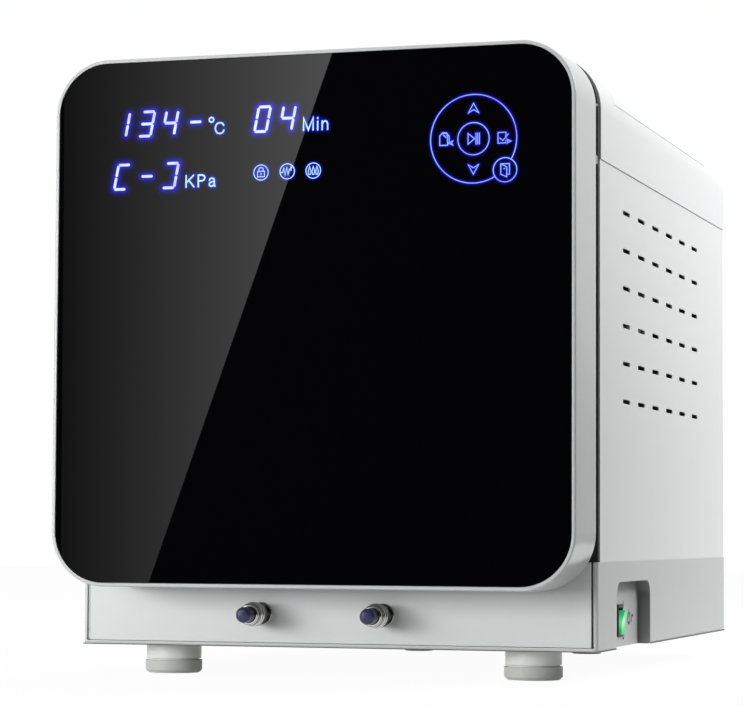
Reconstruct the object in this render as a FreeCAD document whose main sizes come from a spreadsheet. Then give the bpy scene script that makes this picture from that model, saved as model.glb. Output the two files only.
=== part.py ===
import FreeCAD, Part
import math
import os
import re

import Sketcher
from FreeCAD import Rotation, Vector

# Front-loading bench autoclave: cabinet, pressure vessel, full-height door and what they carry.
# Millimetres. X to the right, Y from the front to the back, Z up from the surface it stands on.
# The origin is under the middle of the machine.

doc = FreeCAD.newDocument("autoclave")
sheet = doc.addObject("Spreadsheet::Sheet", "Sizes")

# Driving sizes, one row each: name, value and what it measures
SIZES = [
    ("overall_depth", 631, "front of the door rim to the back of the cabinet"),
    ("cabinet_width", 439, "over the top cover and the base"),
    ("cabinet_height", 503, "floor to the top of the cover"),
    ("foot_height", 24.4, "floor to the underside of the base"),
    ("lower_seam", 95.5, "height of the seam between base and side panels"),
    ("upper_seam", 418, "height of the seam between side panels and cover"),
    ("base_setback", 71.6, "door rim to the front of the base"),
    ("frame_setback", 75.6, "door rim to the front of the dark frame"),
    ("housing_setback", 83.1, "door rim to the front edge of the panels"),
    ("shoulder_radius", 45, "long upper edges of the cabinet"),
    ("cover_wall", 3, "moulded top cover"),
    ("ledge_wall", 3, "ledge that carries the tank lid"),
    ("panel_inset", 1, "side panels behind the outside of cover and base"),
    ("sheet", 1.2, "folded sheet metal"),
    ("seat_gap", 0.3, "clearance between pieces that seat on each other"),
    ("fold", 12, "width of the folded edges"),
    ("front_fold", 3.4, "folded front edge of the side panels"),
    ("lid_front_inset", 138.8, "door rim to the front edge of the tank lid"),
    ("lid_length", 398, "tank lid from front to back"),
    ("lid_line", 470, "height of the lower edge of the tank lid"),
    ("lid_wall", 2.7, "moulded tank lid"),
    ("lid_gap", 0.6, "open joint round the tank lid"),
    ("ledge_overlap", 12, "how far the ledge runs past the lid"),
    ("base_wall", 3.2, "wall of the base pan"),
    ("base_edge", 3, "rounded upright corners of the base"),
    ("base_hem", 2.4, "rounded lower edge of the base"),
    ("panel_groove", 2.4, "dark groove beside the lower front panel"),
    ("panel_depth", 2.5, "thickness of the lower front panel"),
    ("panel_sink", 0.8, "lower front panel behind the edges of the base"),
    ("recess_setback", 140.8, "door rim to the front of the switch recess"),
    ("recess_length", 133, "switch recess along the base"),
    ("recess_top", 78.7, "height of the top of the switch recess"),
    ("recess_depth", 10.3, "depth of the switch recess"),
    ("recess_corner", 13, "rounded upper corners of the recess"),
    ("slot_length", 28, "vent slot"),
    ("slot_height", 3.6, "vent slot"),
    ("slot_pitch", 60, "between vent slots along the side"),
    ("slot_row_pitch", 31.4, "between rows of vent slots"),
    ("slot_first", 183.9, "door rim to the middle of the first slots"),
    ("slot_top", 384.4, "height of the top row of slots"),
    ("slot_count", 6, "slots in a row, and rows"),
    ("frame_plate", 4, "front wall of the dark frame"),
    ("frame_rim", 3, "edge wall of the dark frame"),
    ("door_low", 72.3, "height of the lower edge of the door at its back"),
    ("door_top", 503.4, "height of the upper edge of the door at its back"),
    ("door_depth", 64.4, "thickness of the door"),
    ("door_draft", 1.2, "how much the door narrows to the front, each side"),
    ("door_corner", 45, "corner radius of the door"),
    ("door_wall", 3, "moulded door shell"),
    ("door_lip", 3.3, "pale rim round the glass"),
    ("lip_round", 1.5, "rounded front edge of the rim"),
    ("glass_sink", 0.5, "glass behind the front of the rim"),
    ("glass_thickness", 4, "door glass"),
    ("glass_gap", 0.3, "joint round the glass"),
    ("glass_ledge", 8, "ledge behind the edge of the glass"),
    ("board_gap", 1, "space between glass and touch board"),
    ("board_thickness", 1.6, "circuit boards"),
    ("ring_x", 135.3, "middle of the touch ring, from the middle of the door"),
    ("ring_z", 426.4, "height of the middle of the touch ring"),
    ("ring_radius", 34.8, "touch ring"),
    ("figures_left", 185, "left edge of the lit figures, from the middle"),
    ("figures_right", 20, "right edge of the lit figures, from the middle"),
    ("figures_low", 385, "lower edge of the lit figures"),
    ("figures_high", 470, "upper edge of the lit figures"),
    ("cover_plate", 3, "inner cover of the door"),
    ("chamber_axis", 272, "height of the middle of the vessel"),
    ("chamber_radius", 125, "inside of the vessel"),
    ("chamber_depth", 450, "inside length of the vessel"),
    ("chamber_wall", 3, "wall of the vessel"),
    ("head_thickness", 5, "rear head of the vessel"),
    ("head_round", 22, "rounded edge of the rear head, inside"),
    ("flange_radius", 150, "outside of the vessel's mouth flange"),
    ("flange_thickness", 12, "mouth flange"),
    ("flange_proud", 1.1, "flange in front of the dark frame"),
    ("flange_hole_gap", 2, "opening of the frame round the flange"),
    ("heater_thickness", 2, "heater band"),
    ("heater_length", 230, "heater band along the vessel"),
    ("heater_start", 110, "mouth of the vessel to the heater band"),
    ("jacket_thickness", 16, "insulation"),
    ("jacket_length", 425, "insulation along the vessel"),
    ("strap_width", 14, "straps round the insulation"),
    ("strap_thickness", 0.8, "straps round the insulation"),
    ("strap_pitch", 150, "between the straps"),
    ("cradle_thickness", 3, "cradles that carry the vessel"),
    ("cradle_half_width", 112, "half the width of a cradle"),
    ("cradle_first", 30, "mouth flange to the front cradle"),
    ("cradle_second", 405, "mouth flange to the rear cradle"),
    ("plate_radius", 142, "pressure plate of the door"),
    ("plate_thickness", 14, "pressure plate of the door"),
    ("plate_gap", 3, "pressure plate to the flange, door shut"),
    ("plate_boss", 30, "radius of the boss that carries the plate"),
    ("plate_dish", 4, "depth of the hollow in the plate's inner face"),
    ("seal_inner", 130, "door seal"),
    ("seal_outer", 138, "door seal"),
    ("seal_groove", 3, "depth of the groove for the seal"),
    ("hinge_inset", 12, "hinge axis from the door's side and from its back"),
    ("hinge_offset", 110, "hinges above and below the vessel's middle"),
    ("knuckle_radius", 7, "hinge knuckles"),
    ("knuckle_half", 12, "half the height of the cabinet's knuckle"),
    ("lug_height", 10, "the door's hinge lugs"),
    ("hinge_gap", 0.4, "between knuckle and lugs"),
    ("pin_radius", 3, "hinge pin"),
    ("pin_clearance", 0.05, "running clearance of pins and screws"),
    ("pin_head", 5, "radius of the hinge pin's head"),
    ("pin_head_height", 2, "head of the hinge pin"),
    ("hinge_arm_half", 4.5, "half the thickness of the hinge arm"),
    ("hinge_foot", 28, "half the height of the hinge's foot plate"),
    ("hinge_foot_width", 24, "hinge foot plate"),
    ("hinge_foot_thickness", 5, "hinge foot plate"),
    ("notch_half", 24, "half the height of the hinge notch in the door"),
    ("notch_depth", 22, "hinge notch in front of the hinge axis"),
    ("notch_width", 8, "hinge notch to the right of the hinge axis"),
    ("carrier_thickness", 6, "steel carrier inside the door"),
    ("boss_radius", 6, "bosses of the door shell that carry the steel carrier"),
    ("boss_inset", 12, "bosses from the ends of the carrier's leaves"),
    ("carrier_space", 16, "pressure plate to the carrier"),
    ("carrier_arm_half", 36, "half the height of the carrier's arm"),
    ("carrier_leaf_half", 155, "half the height of the carrier's leaves"),
    ("carrier_left_width", 44, "leaf on the hinge side"),
    ("carrier_right_width", 50, "leaf on the lock side"),
    ("lock_offset", 143, "strikers above and below the vessel's middle"),
    ("striker_x", 196, "near face of the strikers, from the middle"),
    ("striker_thickness", 5, "strikers"),
    ("striker_half", 12, "half the height of a striker"),
    ("striker_tip", 20, "strikers behind the front face of the dark frame"),
    ("lock_pin_radius", 3, "pins of the lock bar"),
    ("lock_pin_gap", 0.5, "lock pin in the striker's notch"),
    ("lock_travel", 14, "travel of the lock bar"),
    ("lock_release", 2, "lock pin below the striker when released"),
    ("lock_bar_x", 204, "near face of the lock bar, from the middle"),
    ("lock_bar_thickness", 4, "lock bar"),
    ("lock_bar_width", 16, "lock bar from front to back"),
    ("lock_bar_end", 12, "lock bar past its pins"),
    ("lock_pin_length", 11, "pins of the lock bar"),
    ("lock_slot_side", 4, "striker slots beside the strikers"),
    ("lock_slot_end", 2, "striker slots above and below the strikers"),
    ("screw_radius", 4, "lock screw"),
    ("screw_length", 92, "lock screw"),
    ("nut_width", 20, "nut block of the lock bar from front to back"),
    ("nut_side", 12, "nut block from side to side"),
    ("nut_height", 14, "nut block"),
    ("nut_rise", 50, "top of the lock motor to the nut block"),
    ("motor_radius", 9.5, "lock motor"),
    ("motor_length", 52, "lock motor"),
    ("motor_top", 214, "height of the top of the lock motor"),
    ("rack_half_width", 93, "tray rack to the outside of its side walls"),
    ("rack_sheet", 1.5, "tray rack"),
    ("rack_front", 14, "mouth of the vessel to the tray rack"),
    ("rack_length", 410, "tray rack"),
    ("rack_runner", 9, "width of the tray runners"),
    ("rack_level", 44, "between tray levels"),
    ("tray_gap", 1, "tray beside the rack"),
    ("tray_depth", 14, "tray"),
    ("tray_sheet", 1, "tray"),
    ("tray_length", 400, "tray"),
    ("tray_hole_length", 60, "long holes in the tray's floor"),
    ("tray_hole_width", 8, "long holes in the tray's floor"),
    ("tank_half_width", 182, "water tank"),
    ("tank_setback", 152, "door rim to the front of the water tank"),
    ("tank_length", 368, "water tank"),
    ("tank_wall", 3, "water tank"),
    ("tank_divider", 30, "divider of the tank to the right of the middle"),
    ("tank_corner", 16, "upright corners of the tank"),
    ("tank_top", 488, "height of the rim of the tank"),
    ("shelf_height", 424, "height of the shelf below the tank"),
    ("stem_radius", 4, "float stems"),
    ("stem_height", 48, "float stems"),
    ("stem_cap", 7, "radius of the caps of the float stems"),
    ("stem_cap_height", 3, "caps and foot plates of the float stems"),
    ("float_radius", 11, "floats"),
    ("float_height", 14, "floats"),
    ("float_clearance", 0.6, "float on its stem"),
    ("float_inset", 40, "float stems from the walls of the tank"),
    ("foot_x", 156, "front feet from the middle"),
    ("foot_setback", 116.8, "door rim to the front feet"),
    ("rear_foot_x", 86, "rear feet from the middle"),
    ("rear_foot_inset", 21, "rear feet from the back of the cabinet"),
    ("rear_foot_radius", 15, "rear feet"),
    ("rear_pad_radius", 16, "rubber pads of the rear feet"),
    ("foot_radius", 23, "front feet"),
    ("foot_pad_radius", 23.8, "rubber pads of the front feet"),
    ("foot_pad_height", 10.6, "rubber pads of the feet"),
    ("foot_neck", 1.4, "groove between foot and pad"),
    ("foot_neck_sink", 1.6, "groove between foot and pad"),
    ("foot_pad_round", 2.5, "lower edge of the pads"),
    ("drain_left_x", -62.6, "left drain coupling"),
    ("drain_pitch", 104.5, "between the drain couplings"),
    ("drain_z", 51.4, "height of the drain couplings"),
    ("drain_nut_flats", 15, "hexagon of the couplings, across flats"),
    ("drain_nut_length", 9.5, "hexagon of the couplings"),
    ("drain_barrel_radius", 7, "barrel of the couplings"),
    ("drain_barrel_length", 22, "barrel of the couplings"),
    ("drain_bore", 3.5, "radius of the bore of the couplings"),
    ("drain_seat", 5.2, "radius of the socket for the plug"),
    ("drain_seat_depth", 13, "socket for the plug"),
    ("drain_thread", 6, "radius of the thread through the panel"),
    ("drain_thread_length", 16, "thread through the panel"),
    ("sleeve_radius", 9.9, "sliding sleeve of the couplings"),
    ("sleeve_length", 14.2, "sliding sleeve of the couplings"),
    ("sleeve_travel", 3.5, "travel of the sliding sleeve"),
    ("sleeve_clearance", 0.35, "sleeve on its barrel"),
    ("sleeve_groove", 1.4, "grip grooves of the sleeve"),
    ("sleeve_step", 0.5, "each ring of the sleeve narrower than the one behind it"),
    ("collar_radius", 8.2, "fixed collar in front of the sleeve"),
    ("collar_length", 3.6, "fixed collar in front of the sleeve"),
    ("plug_radius", 6.2, "dust plugs of the couplings"),
    ("plug_length", 12.6, "dust plugs in front of the couplings"),
    ("plug_clearance", 0.1, "stem of the plug in its socket"),
    ("plug_stem", 11, "stem of the plug"),
    ("switch_setback", 196.8, "door rim to the middle of the power switch"),
    ("switch_z", 46, "height of the middle of the power switch"),
    ("bezel_length", 18, "bezel of the switch, front to back"),
    ("bezel_height", 27, "bezel of the switch"),
    ("bezel_thickness", 1.4, "bezel of the switch"),
    ("bezel_wall", 1, "side walls of the bezel"),
    ("switch_depth", 20, "switch body behind the recess"),
    ("rocker_height", 20.4, "rocker"),
    ("rocker_width", 13.4, "rocker"),
    ("rocker_pivot", 3, "pivot of the rocker behind the recess"),
    ("rocker_dish", 1.2, "hollow of the rocker's face"),
    ("rocker_gap", 0.4, "round the rocker"),
    ("rocker_proud", 5.2, "rocker in front of the recess"),
    ("rocker_throw", 9, "half the swing of the rocker, in degrees"),
    ("fan_size", 92, "fan frame"),
    ("fan_depth", 25, "fan frame"),
    ("fan_bore", 43, "radius of the fan's opening"),
    ("fan_tip", 41.5, "radius of the blade tips"),
    ("fan_hub", 19, "radius of the fan's hub"),
    ("fan_shaft", 3, "shaft of the fan"),
    ("fan_blades", 7, "blades of the fan"),
    ("blade_thickness", 1.8, "blades of the fan"),
    ("blade_pitch", 38, "blades of the fan, in degrees"),
    ("fan_x", 120, "fan to the right of the middle"),
    ("fan_z", 330, "height of the middle of the fan"),
    ("fan_corner", 6, "corners of the fan frame"),
    ("strut_width", 6, "struts of the fan frame"),
    ("strut_depth", 4, "struts of the fan frame"),
    ("rear_inset", 3.5, "rear panel inside the back of the cabinet"),
    ("grille_slot", 5, "fan grille slots"),
    ("grille_pitch", 10, "between fan grille slots"),
    ("grille_count", 9, "slots of the fan grille"),
    ("condenser_depth", 34, "condenser from front to back"),
    ("condenser_fin", 1, "fins of the condenser"),
    ("condenser_fin_pitch", 6, "between fins of the condenser"),
    ("condenser_fin_count", 21, "fins of the condenser"),
    ("condenser_tube", 4.5, "radius of the condenser's tubes"),
    ("condenser_tube_pitch", 26, "between the condenser's tubes"),
    ("inlet_width", 48, "mains inlet with its fuse drawer"),
    ("inlet_height", 58, "mains inlet with its fuse drawer"),
    ("inlet_flange", 2.5, "flange of the mains inlet"),
    ("inlet_depth", 24, "body of the mains inlet"),
    ("inlet_margin", 6, "flange of the mains inlet past its body"),
    ("inlet_x", -150, "mains inlet"),
    ("inlet_z", 150, "height of the mains inlet"),
    ("socket_width", 27, "socket of the mains inlet"),
    ("socket_height", 19.5, "socket of the mains inlet"),
    ("socket_depth", 16, "socket of the mains inlet"),
    ("socket_corner", 4, "corners of the socket"),
    ("blade_width", 6, "contact blades of the inlet"),
    ("blade_height", 2, "contact blades of the inlet"),
    ("blade_length", 12, "contact blades of the inlet"),
    ("blade_offset", 7, "outer contact blades from the middle"),
    ("motor_pump_radius", 48, "motor of the vacuum pump"),
    ("motor_pump_length", 88, "motor of the vacuum pump"),
    ("motor_pump_x", -155, "vacuum pump"),
    ("motor_pump_z", 100, "height of the middle of the vacuum pump"),
    ("pump_head_half", 40, "half the size of the pump head"),
    ("pump_head_depth", 56, "pump head from front to back"),
    ("pump_inset", 92, "back of the cabinet to the middle of the pump"),
    ("pump_foot_height", 20, "foot of the vacuum pump"),
    ("pump_foot_half", 34, "half the width of the pump's foot"),
    ("water_pump_radius", 24, "water pump"),
    ("water_pump_length", 90, "water pump"),
    ("generator_radius", 34, "steam generator"),
    ("generator_length", 210, "steam generator"),
    ("generator_x", 60, "steam generator"),
    ("generator_z", 78, "height of the steam generator"),
    ("generator_setback", 240, "door rim to the front of the steam generator"),
    ("generator_clamp", 10, "clamps of the steam generator"),
    ("valve_block_length", 120, "valve block"),
    ("valve_block_half", 16, "half the width of the valve block"),
    ("valve_block_height", 26, "valve block"),
    ("coil_radius", 13, "coils of the valves"),
    ("coil_height", 38, "coils of the valves"),
    ("coil_pitch", 30, "between valves"),
    ("coil_count", 4, "valves"),
    ("control_length", 260, "control board"),
    ("control_height", 120, "control board"),
    ("control_low", 270, "lower edge of the control board"),
    ("control_setback", 260, "door rim to the control board"),
    ("standoff", 8, "control board from the side panel"),
    ("standoff_radius", 3, "posts of the control board"),
    ("safety_x", -60, "safety valve"),
    ("safety_z", 360, "height of the safety valve"),
    ("safety_hex", 12, "body of the safety valve"),
    ("filter_radius", 24, "air filter"),
    ("filter_length", 46, "air filter"),
    ("filter_x", 10, "air filter"),
    ("filter_z", 130, "height of the air filter"),
    ("open_margin", 1, "how far a cut runs past the face that it opens"),
]

NAMES = "|".join(sorted((row[0] for row in SIZES), key=len, reverse=True))
for line, (name, value, meaning) in enumerate(SIZES, 1):
    sheet.set(f"A{line}", name)
    sheet.set(f"B{line}", str(value))
    sheet.setAlias(f"B{line}", name)
    sheet.set(f"C{line}", meaning)
doc.recompute()

# Places that several pieces share, worked out from the driving sizes
FRONT = "(-overall_depth / 2)"
REAR = "(overall_depth / 2)"
SIDE = "(cabinet_width / 2)"
PANEL = "(cabinet_width / 2 - panel_inset)"
BASE_FRONT = f"({FRONT} + base_setback)"
FRAME_FRONT = f"({FRONT} + frame_setback)"
FRAME_BACK = f"({FRAME_FRONT} + frame_plate)"
HOUSING_FRONT = f"({FRONT} + housing_setback)"
REAR_PANEL = f"({REAR} - rear_inset)"
DOOR_BACK = f"({FRONT} + door_depth)"
FLANGE_FRONT = f"({FRAME_FRONT} - flange_proud)"
PLATE_BACK = f"({FLANGE_FRONT} - plate_gap)"
PLATE_FRONT = f"({PLATE_BACK} - plate_thickness)"
CARRIER_BACK = f"({PLATE_FRONT} - carrier_space)"
CARRIER_FRONT = f"({CARRIER_BACK} - carrier_thickness)"
HINGE_X = "(-cabinet_width / 2 + hinge_inset)"
HINGE_Y = f"({DOOR_BACK} - hinge_inset)"
GLASS_HALF = "(cabinet_width / 2 - door_draft - door_lip)"
GLASS_LOW = "(door_low + door_draft + door_lip)"
GLASS_HIGH = "(door_top - door_draft - door_lip)"
GLASS_BACK = f"({FRONT} + glass_sink + glass_thickness)"
LEDGE_BACK = f"({GLASS_BACK} + glass_gap + door_wall)"
LID_FRONT = f"({FRONT} + lid_front_inset)"
LID_REAR = f"({LID_FRONT} + lid_length)"
VESSEL_OUTER = "(chamber_radius + chamber_wall)"
HEATER_OUTER = f"({VESSEL_OUTER} + seat_gap + heater_thickness)"
JACKET_INNER = f"({HEATER_OUTER} + seat_gap)"
JACKET_OUTER = f"({JACKET_INNER} + jacket_thickness)"
FLOOR = "(foot_height + base_wall)"
LOCK_BAR_FRONT = f"({FRAME_BACK} + seat_gap)"
LOCK_PIN_Y = f"({LOCK_BAR_FRONT} + lock_bar_width / 2)"
SCREW_X = "(lock_bar_x + lock_bar_thickness / 2)"
SCREW_Y = f"({LOCK_BAR_FRONT} + lock_bar_width + nut_width / 2)"
TANK_FRONT = f"({FRONT} + tank_setback)"
TANK_REAR = f"({TANK_FRONT} + tank_length)"
TANK_LOW = "(shelf_height + sheet)"
RACK_HALF_HEIGHT = "(sqrt(chamber_radius^2 - rack_half_width^2) - seat_gap)"
RACK_FRONT = f"({FLANGE_FRONT} + rack_front)"
RECESS_FLOOR = f"({SIDE} - recess_depth)"
SWITCH_Y = f"({FRONT} + switch_setback)"
WELL_Y = "(rocker_width / 2 + rocker_gap)"
WELL_Z = "(rocker_height / 2 + rocker_gap)"

ROLES = {"X": "YZ_Plane", "Y": "XZ_Plane", "Z": "XY_Plane"}
nodes = {}


def linked(text):
    """The text as an expression that names the sheet's cells."""
    return re.sub(rf"\b({NAMES})\b", r"Sizes.\1", text)


def bind(item, place, text):
    item.setExpression(place, linked(text))


def number(text):
    return float(sheet.evalExpression(linked(text)))


def keep(name, item):
    """Name the object as one of the finished pieces."""
    item.Label = name
    nodes[name] = item
    return item


# Outlines: each draws closed edges into a sketch and ties them to the sizes

def hold(sketch, geometry, point, u, v):
    """Hold a point of the sketch at u, v from its origin."""
    for kind, text in (("DistanceX", u), ("DistanceY", v)):
        if text is not None:
            place = sketch.addConstraint(Sketcher.Constraint(kind, -1, 1, geometry, point, number(text)))
            bind(sketch, f"Constraints[{place}]", text)


def polygon(*corners):
    def draw(sketch):
        points = [Vector(number(u), number(v), 0) for u, v in corners]
        first = None
        for index, (point, following) in enumerate(zip(points, points[1:] + points[:1])):
            edge = sketch.addGeometry(Part.LineSegment(point, following), False)
            first = edge if first is None else first
            if index:
                sketch.addConstraint(Sketcher.Constraint("Coincident", edge - 1, 2, edge, 1))
            hold(sketch, edge, 1, *corners[index])
        sketch.addConstraint(Sketcher.Constraint("Coincident", edge, 2, first, 1))
    return draw


def rectangle(left, right, low, high):
    return polygon((left, low), (right, low), (right, high), (left, high))


def disc(u, v, radius):
    def draw(sketch):
        centre = Vector(number(u), number(v), 0)
        circle = sketch.addGeometry(Part.Circle(centre, Vector(0, 0, 1), number(radius)), False)
        hold(sketch, circle, 3, u, v)
        place = sketch.addConstraint(Sketcher.Constraint("Radius", circle, number(radius)))
        bind(sketch, f"Constraints[{place}]", radius)
    return draw


def rounded(left, right, low, high, radius, lower_too=True):
    """A rectangle with rounded corners, or with only its upper corners rounded."""
    def draw(sketch):
        x0, x1, y0, y1, r = (number(text) for text in (left, right, low, high, radius))
        turns = [
            (Vector(x1, y0, 0), Vector(-r, r, 0), 270, lower_too),
            (Vector(x1, y1, 0), Vector(-r, -r, 0), 0, True),
            (Vector(x0, y1, 0), Vector(r, -r, 0), 90, True),
            (Vector(x0, y0, 0), Vector(r, r, 0), 180, lower_too),
        ]
        ends = []
        arcs = []
        for corner, inward, start, is_round in turns:
            if is_round:
                circle = Part.Circle(corner + inward, Vector(0, 0, 1), r)
                arc = Part.ArcOfCircle(circle, math.radians(start), math.radians(start + 90))
                arcs.append(sketch.addGeometry(arc, False))
                ends.append((arc.StartPoint, arc.EndPoint, arcs[-1]))
            else:
                ends.append((corner, corner, None))
        lines = []
        for before, after in zip(ends, ends[1:] + ends[:1]):
            lines.append(sketch.addGeometry(Part.LineSegment(before[1], after[0]), False))
        for index, line in enumerate(lines):
            before, after = ends[index], ends[(index + 1) % 4]
            if before[2] is not None:
                sketch.addConstraint(Sketcher.Constraint("Tangent", before[2], 2, line, 1))
            if after[2] is not None:
                sketch.addConstraint(Sketcher.Constraint("Tangent", line, 2, after[2], 1))
            else:
                sketch.addConstraint(Sketcher.Constraint("Coincident", line, 2, lines[(index + 1) % 4], 1))
            way = "Vertical" if index % 2 == 0 else "Horizontal"
            sketch.addConstraint(Sketcher.Constraint(way, line))
        right_line, top_line, left_line, low_line = lines
        hold(sketch, right_line, 1, right, None)
        hold(sketch, top_line, 1, None, high)
        hold(sketch, left_line, 1, left, None)
        hold(sketch, low_line, 1, None, low)
        place = sketch.addConstraint(Sketcher.Constraint("Radius", arcs[0], r))
        bind(sketch, f"Constraints[{place}]", radius)
        for arc in arcs[1:]:
            sketch.addConstraint(Sketcher.Constraint("Equal", arcs[0], arc))
    return draw


def pill(u, v, length, width):
    """A slot with round ends along the first axis, about its middle."""
    return rounded(f"{u} - {length} / 2", f"{u} + {length} / 2",
                   f"{v} - {width} / 2", f"{v} + {width} / 2", f"{width} * 0.49")


# Solid steps of a body: the sketch lies square to an axis at a level

def new_body(name):
    body = doc.addObject("PartDesign::Body", name)
    return body


def sketch_on(body, axis, level, *outlines):
    sketch = body.newObject("Sketcher::SketchObject", "Outline")
    plane = next(item for item in body.Origin.OriginFeatures if item.Role == ROLES[axis])
    sketch.AttachmentSupport = (plane, [""])
    sketch.MapMode = "FlatFace"
    way = "-" if axis == "Y" else ""
    bind(sketch, "AttachmentOffset.Base.z", f"{way}({level})")
    for outline in outlines:
        outline(sketch)
    return sketch


def pad(body, axis, low, high, *outlines):
    feature = body.newObject("PartDesign::Pad", "Pad")
    feature.Profile = sketch_on(body, axis, low, *outlines)
    bind(feature, "Length", f"({high}) - ({low})")
    feature.Reversed = axis == "Y"
    body.Tip = feature
    return feature


def pocket(body, axis, low, high, *outlines):
    feature = body.newObject("PartDesign::Pocket", "Pocket")
    feature.Profile = sketch_on(body, axis, low, *outlines)
    bind(feature, "Length", f"({high}) - ({low})")
    feature.Reversed = axis != "Y"
    body.Tip = feature
    return feature


def repeat(body, feature, axis, pitch, count):
    """Copy a feature along an axis of the body, a number of times."""
    pattern = body.newObject("PartDesign::LinearPattern", "Row")
    pattern.Originals = [feature]
    line = next(item for item in body.Origin.OriginFeatures if item.Role == f"{axis}_Axis")
    pattern.Direction = (line, [""])
    pattern.Mode = "Spacing"
    bind(pattern, "Offset", pitch)
    bind(pattern, "Occurrences", count)
    body.Tip = pattern
    return pattern


def round_edges(body, radius, wanted):
    """Round the edges of the body's solid that the test picks."""
    doc.recompute()
    solid = body.Tip
    names = [f"Edge{index}" for index, edge in enumerate(solid.Shape.Edges, 1) if wanted(edge)]
    feature = body.newObject("PartDesign::Fillet", "Round")
    feature.Base = (solid, names)
    bind(feature, "Radius", radius)
    body.Tip = feature
    return feature


def turned(name, *profiles):
    """A turned piece about its own Z: each profile lists radius and height."""
    body = new_body(name)
    for profile in profiles:
        feature = body.newObject("PartDesign::Revolution", "Turning")
        sketch = sketch_on(body, "Y", "0", polygon(*profile))
        feature.Profile = sketch
        feature.ReferenceAxis = (sketch, ["V_Axis"])
        feature.Angle = 360
        body.Tip = feature
    return body


def stand(item, x, y, z, axis="Z"):
    """Put a piece made about its own Z at a point, pointing along an axis of the machine."""
    turns = {"Z": Rotation(), "Y": Rotation(Vector(1, 0, 0), -90), "-Y": Rotation(Vector(1, 0, 0), 90),
             "X": Rotation(Vector(0, 1, 0), 90)}
    item.Placement.Rotation = turns[axis]
    for letter, text in zip("xyz", (x, y, z)):
        bind(item, f"Placement.Base.{letter}", text)
    return item


def block(name, x0, x1, y0, y1, z0, z1):
    item = doc.addObject("Part::Box", name)
    for side, low, high in (("Length", x0, x1), ("Width", y0, y1), ("Height", z0, z1)):
        bind(item, side, f"({high}) - ({low})")
    for letter, text in zip("xyz", (x0, y0, z0)):
        bind(item, f"Placement.Base.{letter}", text)
    return item


def rod(name, radius, length, x, y, z, axis="Z"):
    item = doc.addObject("Part::Cylinder", name)
    bind(item, "Radius", radius)
    bind(item, "Height", length)
    return stand(item, x, y, z, axis)


def less(name, base, *tools):
    for tool in tools:
        item = doc.addObject("Part::Cut", name)
        item.Base = base
        item.Tool = tool
        base = item
    return base


def fused(name, *items):
    item = doc.addObject("Part::MultiFuse", name)
    item.Shapes = list(items)
    item.Refine = True
    return item


def common(name, *items):
    item = doc.addObject("Part::MultiCommon", name)
    item.Shapes = list(items)
    return item


def group(name, *items):
    """Separate solids that share one node."""
    item = doc.addObject("Part::Compound", name)
    item.Links = list(items)
    return item


# Base pan, with the recess for the power switch at its right side
def make_base_pan():
    body = new_body("base_pan")
    pad(body, "Z", "foot_height", "lower_seam",
        rounded(f"-{SIDE}", SIDE, BASE_FRONT, REAR, "base_edge"))
    low = number("foot_height")
    round_edges(body, "base_hem", lambda edge: edge.BoundBox.ZMax < low + 0.01)
    pocket(body, "Z", FLOOR, "lower_seam + open_margin",
           rectangle(f"-{SIDE} + base_wall", f"{SIDE} - base_wall",
                     f"{BASE_FRONT} - open_margin", f"{REAR} - base_wall"))
    front = f"({FRONT} + recess_setback)"
    rear = f"({front} + recess_length)"
    pad(body, "X", f"{RECESS_FLOOR} - base_wall", f"{SIDE} - base_wall / 2",
        rounded(f"{front} - base_wall", f"{rear} + base_wall", "foot_height + base_hem",
                "recess_top + base_wall", "recess_corner + base_wall", False))
    pocket(body, "X", RECESS_FLOOR, f"{SIDE} + open_margin",
           rounded(front, rear, "foot_height - open_margin", "recess_top", "recess_corner", False))
    pocket(body, "X", f"{RECESS_FLOOR} - base_wall - open_margin", f"{RECESS_FLOOR} + open_margin",
           rectangle(f"{SWITCH_Y} - {WELL_Y} - bezel_wall - seat_gap", f"{SWITCH_Y} + {WELL_Y} + bezel_wall + seat_gap",
                     f"switch_z - {WELL_Z} - bezel_wall - seat_gap", f"switch_z + {WELL_Z} + bezel_wall + seat_gap"))
    keep("base_pan", body)


# Lower front panel between the side walls of the base, with a folded foot
def make_lower_front_panel():
    body = new_body("lower_front_panel")
    half = f"({SIDE} - base_wall - panel_groove)"
    face = f"({BASE_FRONT} + panel_sink)"
    pad(body, "Y", face, f"{face} + panel_depth",
        rectangle(f"-{half}", half, f"{FLOOR} + seat_gap", "lower_seam - seat_gap"))
    pad(body, "Z", f"{FLOOR} + seat_gap", f"{FLOOR} + seat_gap + sheet",
        rectangle(f"-{half}", half, face, f"{face} + panel_depth + fold"))
    for x in ("drain_left_x", "(drain_left_x + drain_pitch)"):
        pocket(body, "Y", f"{face} - open_margin", f"{face} + panel_depth + open_margin",
               disc(x, "drain_z", "drain_thread + seat_gap"))
    keep("lower_front_panel", body)


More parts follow.
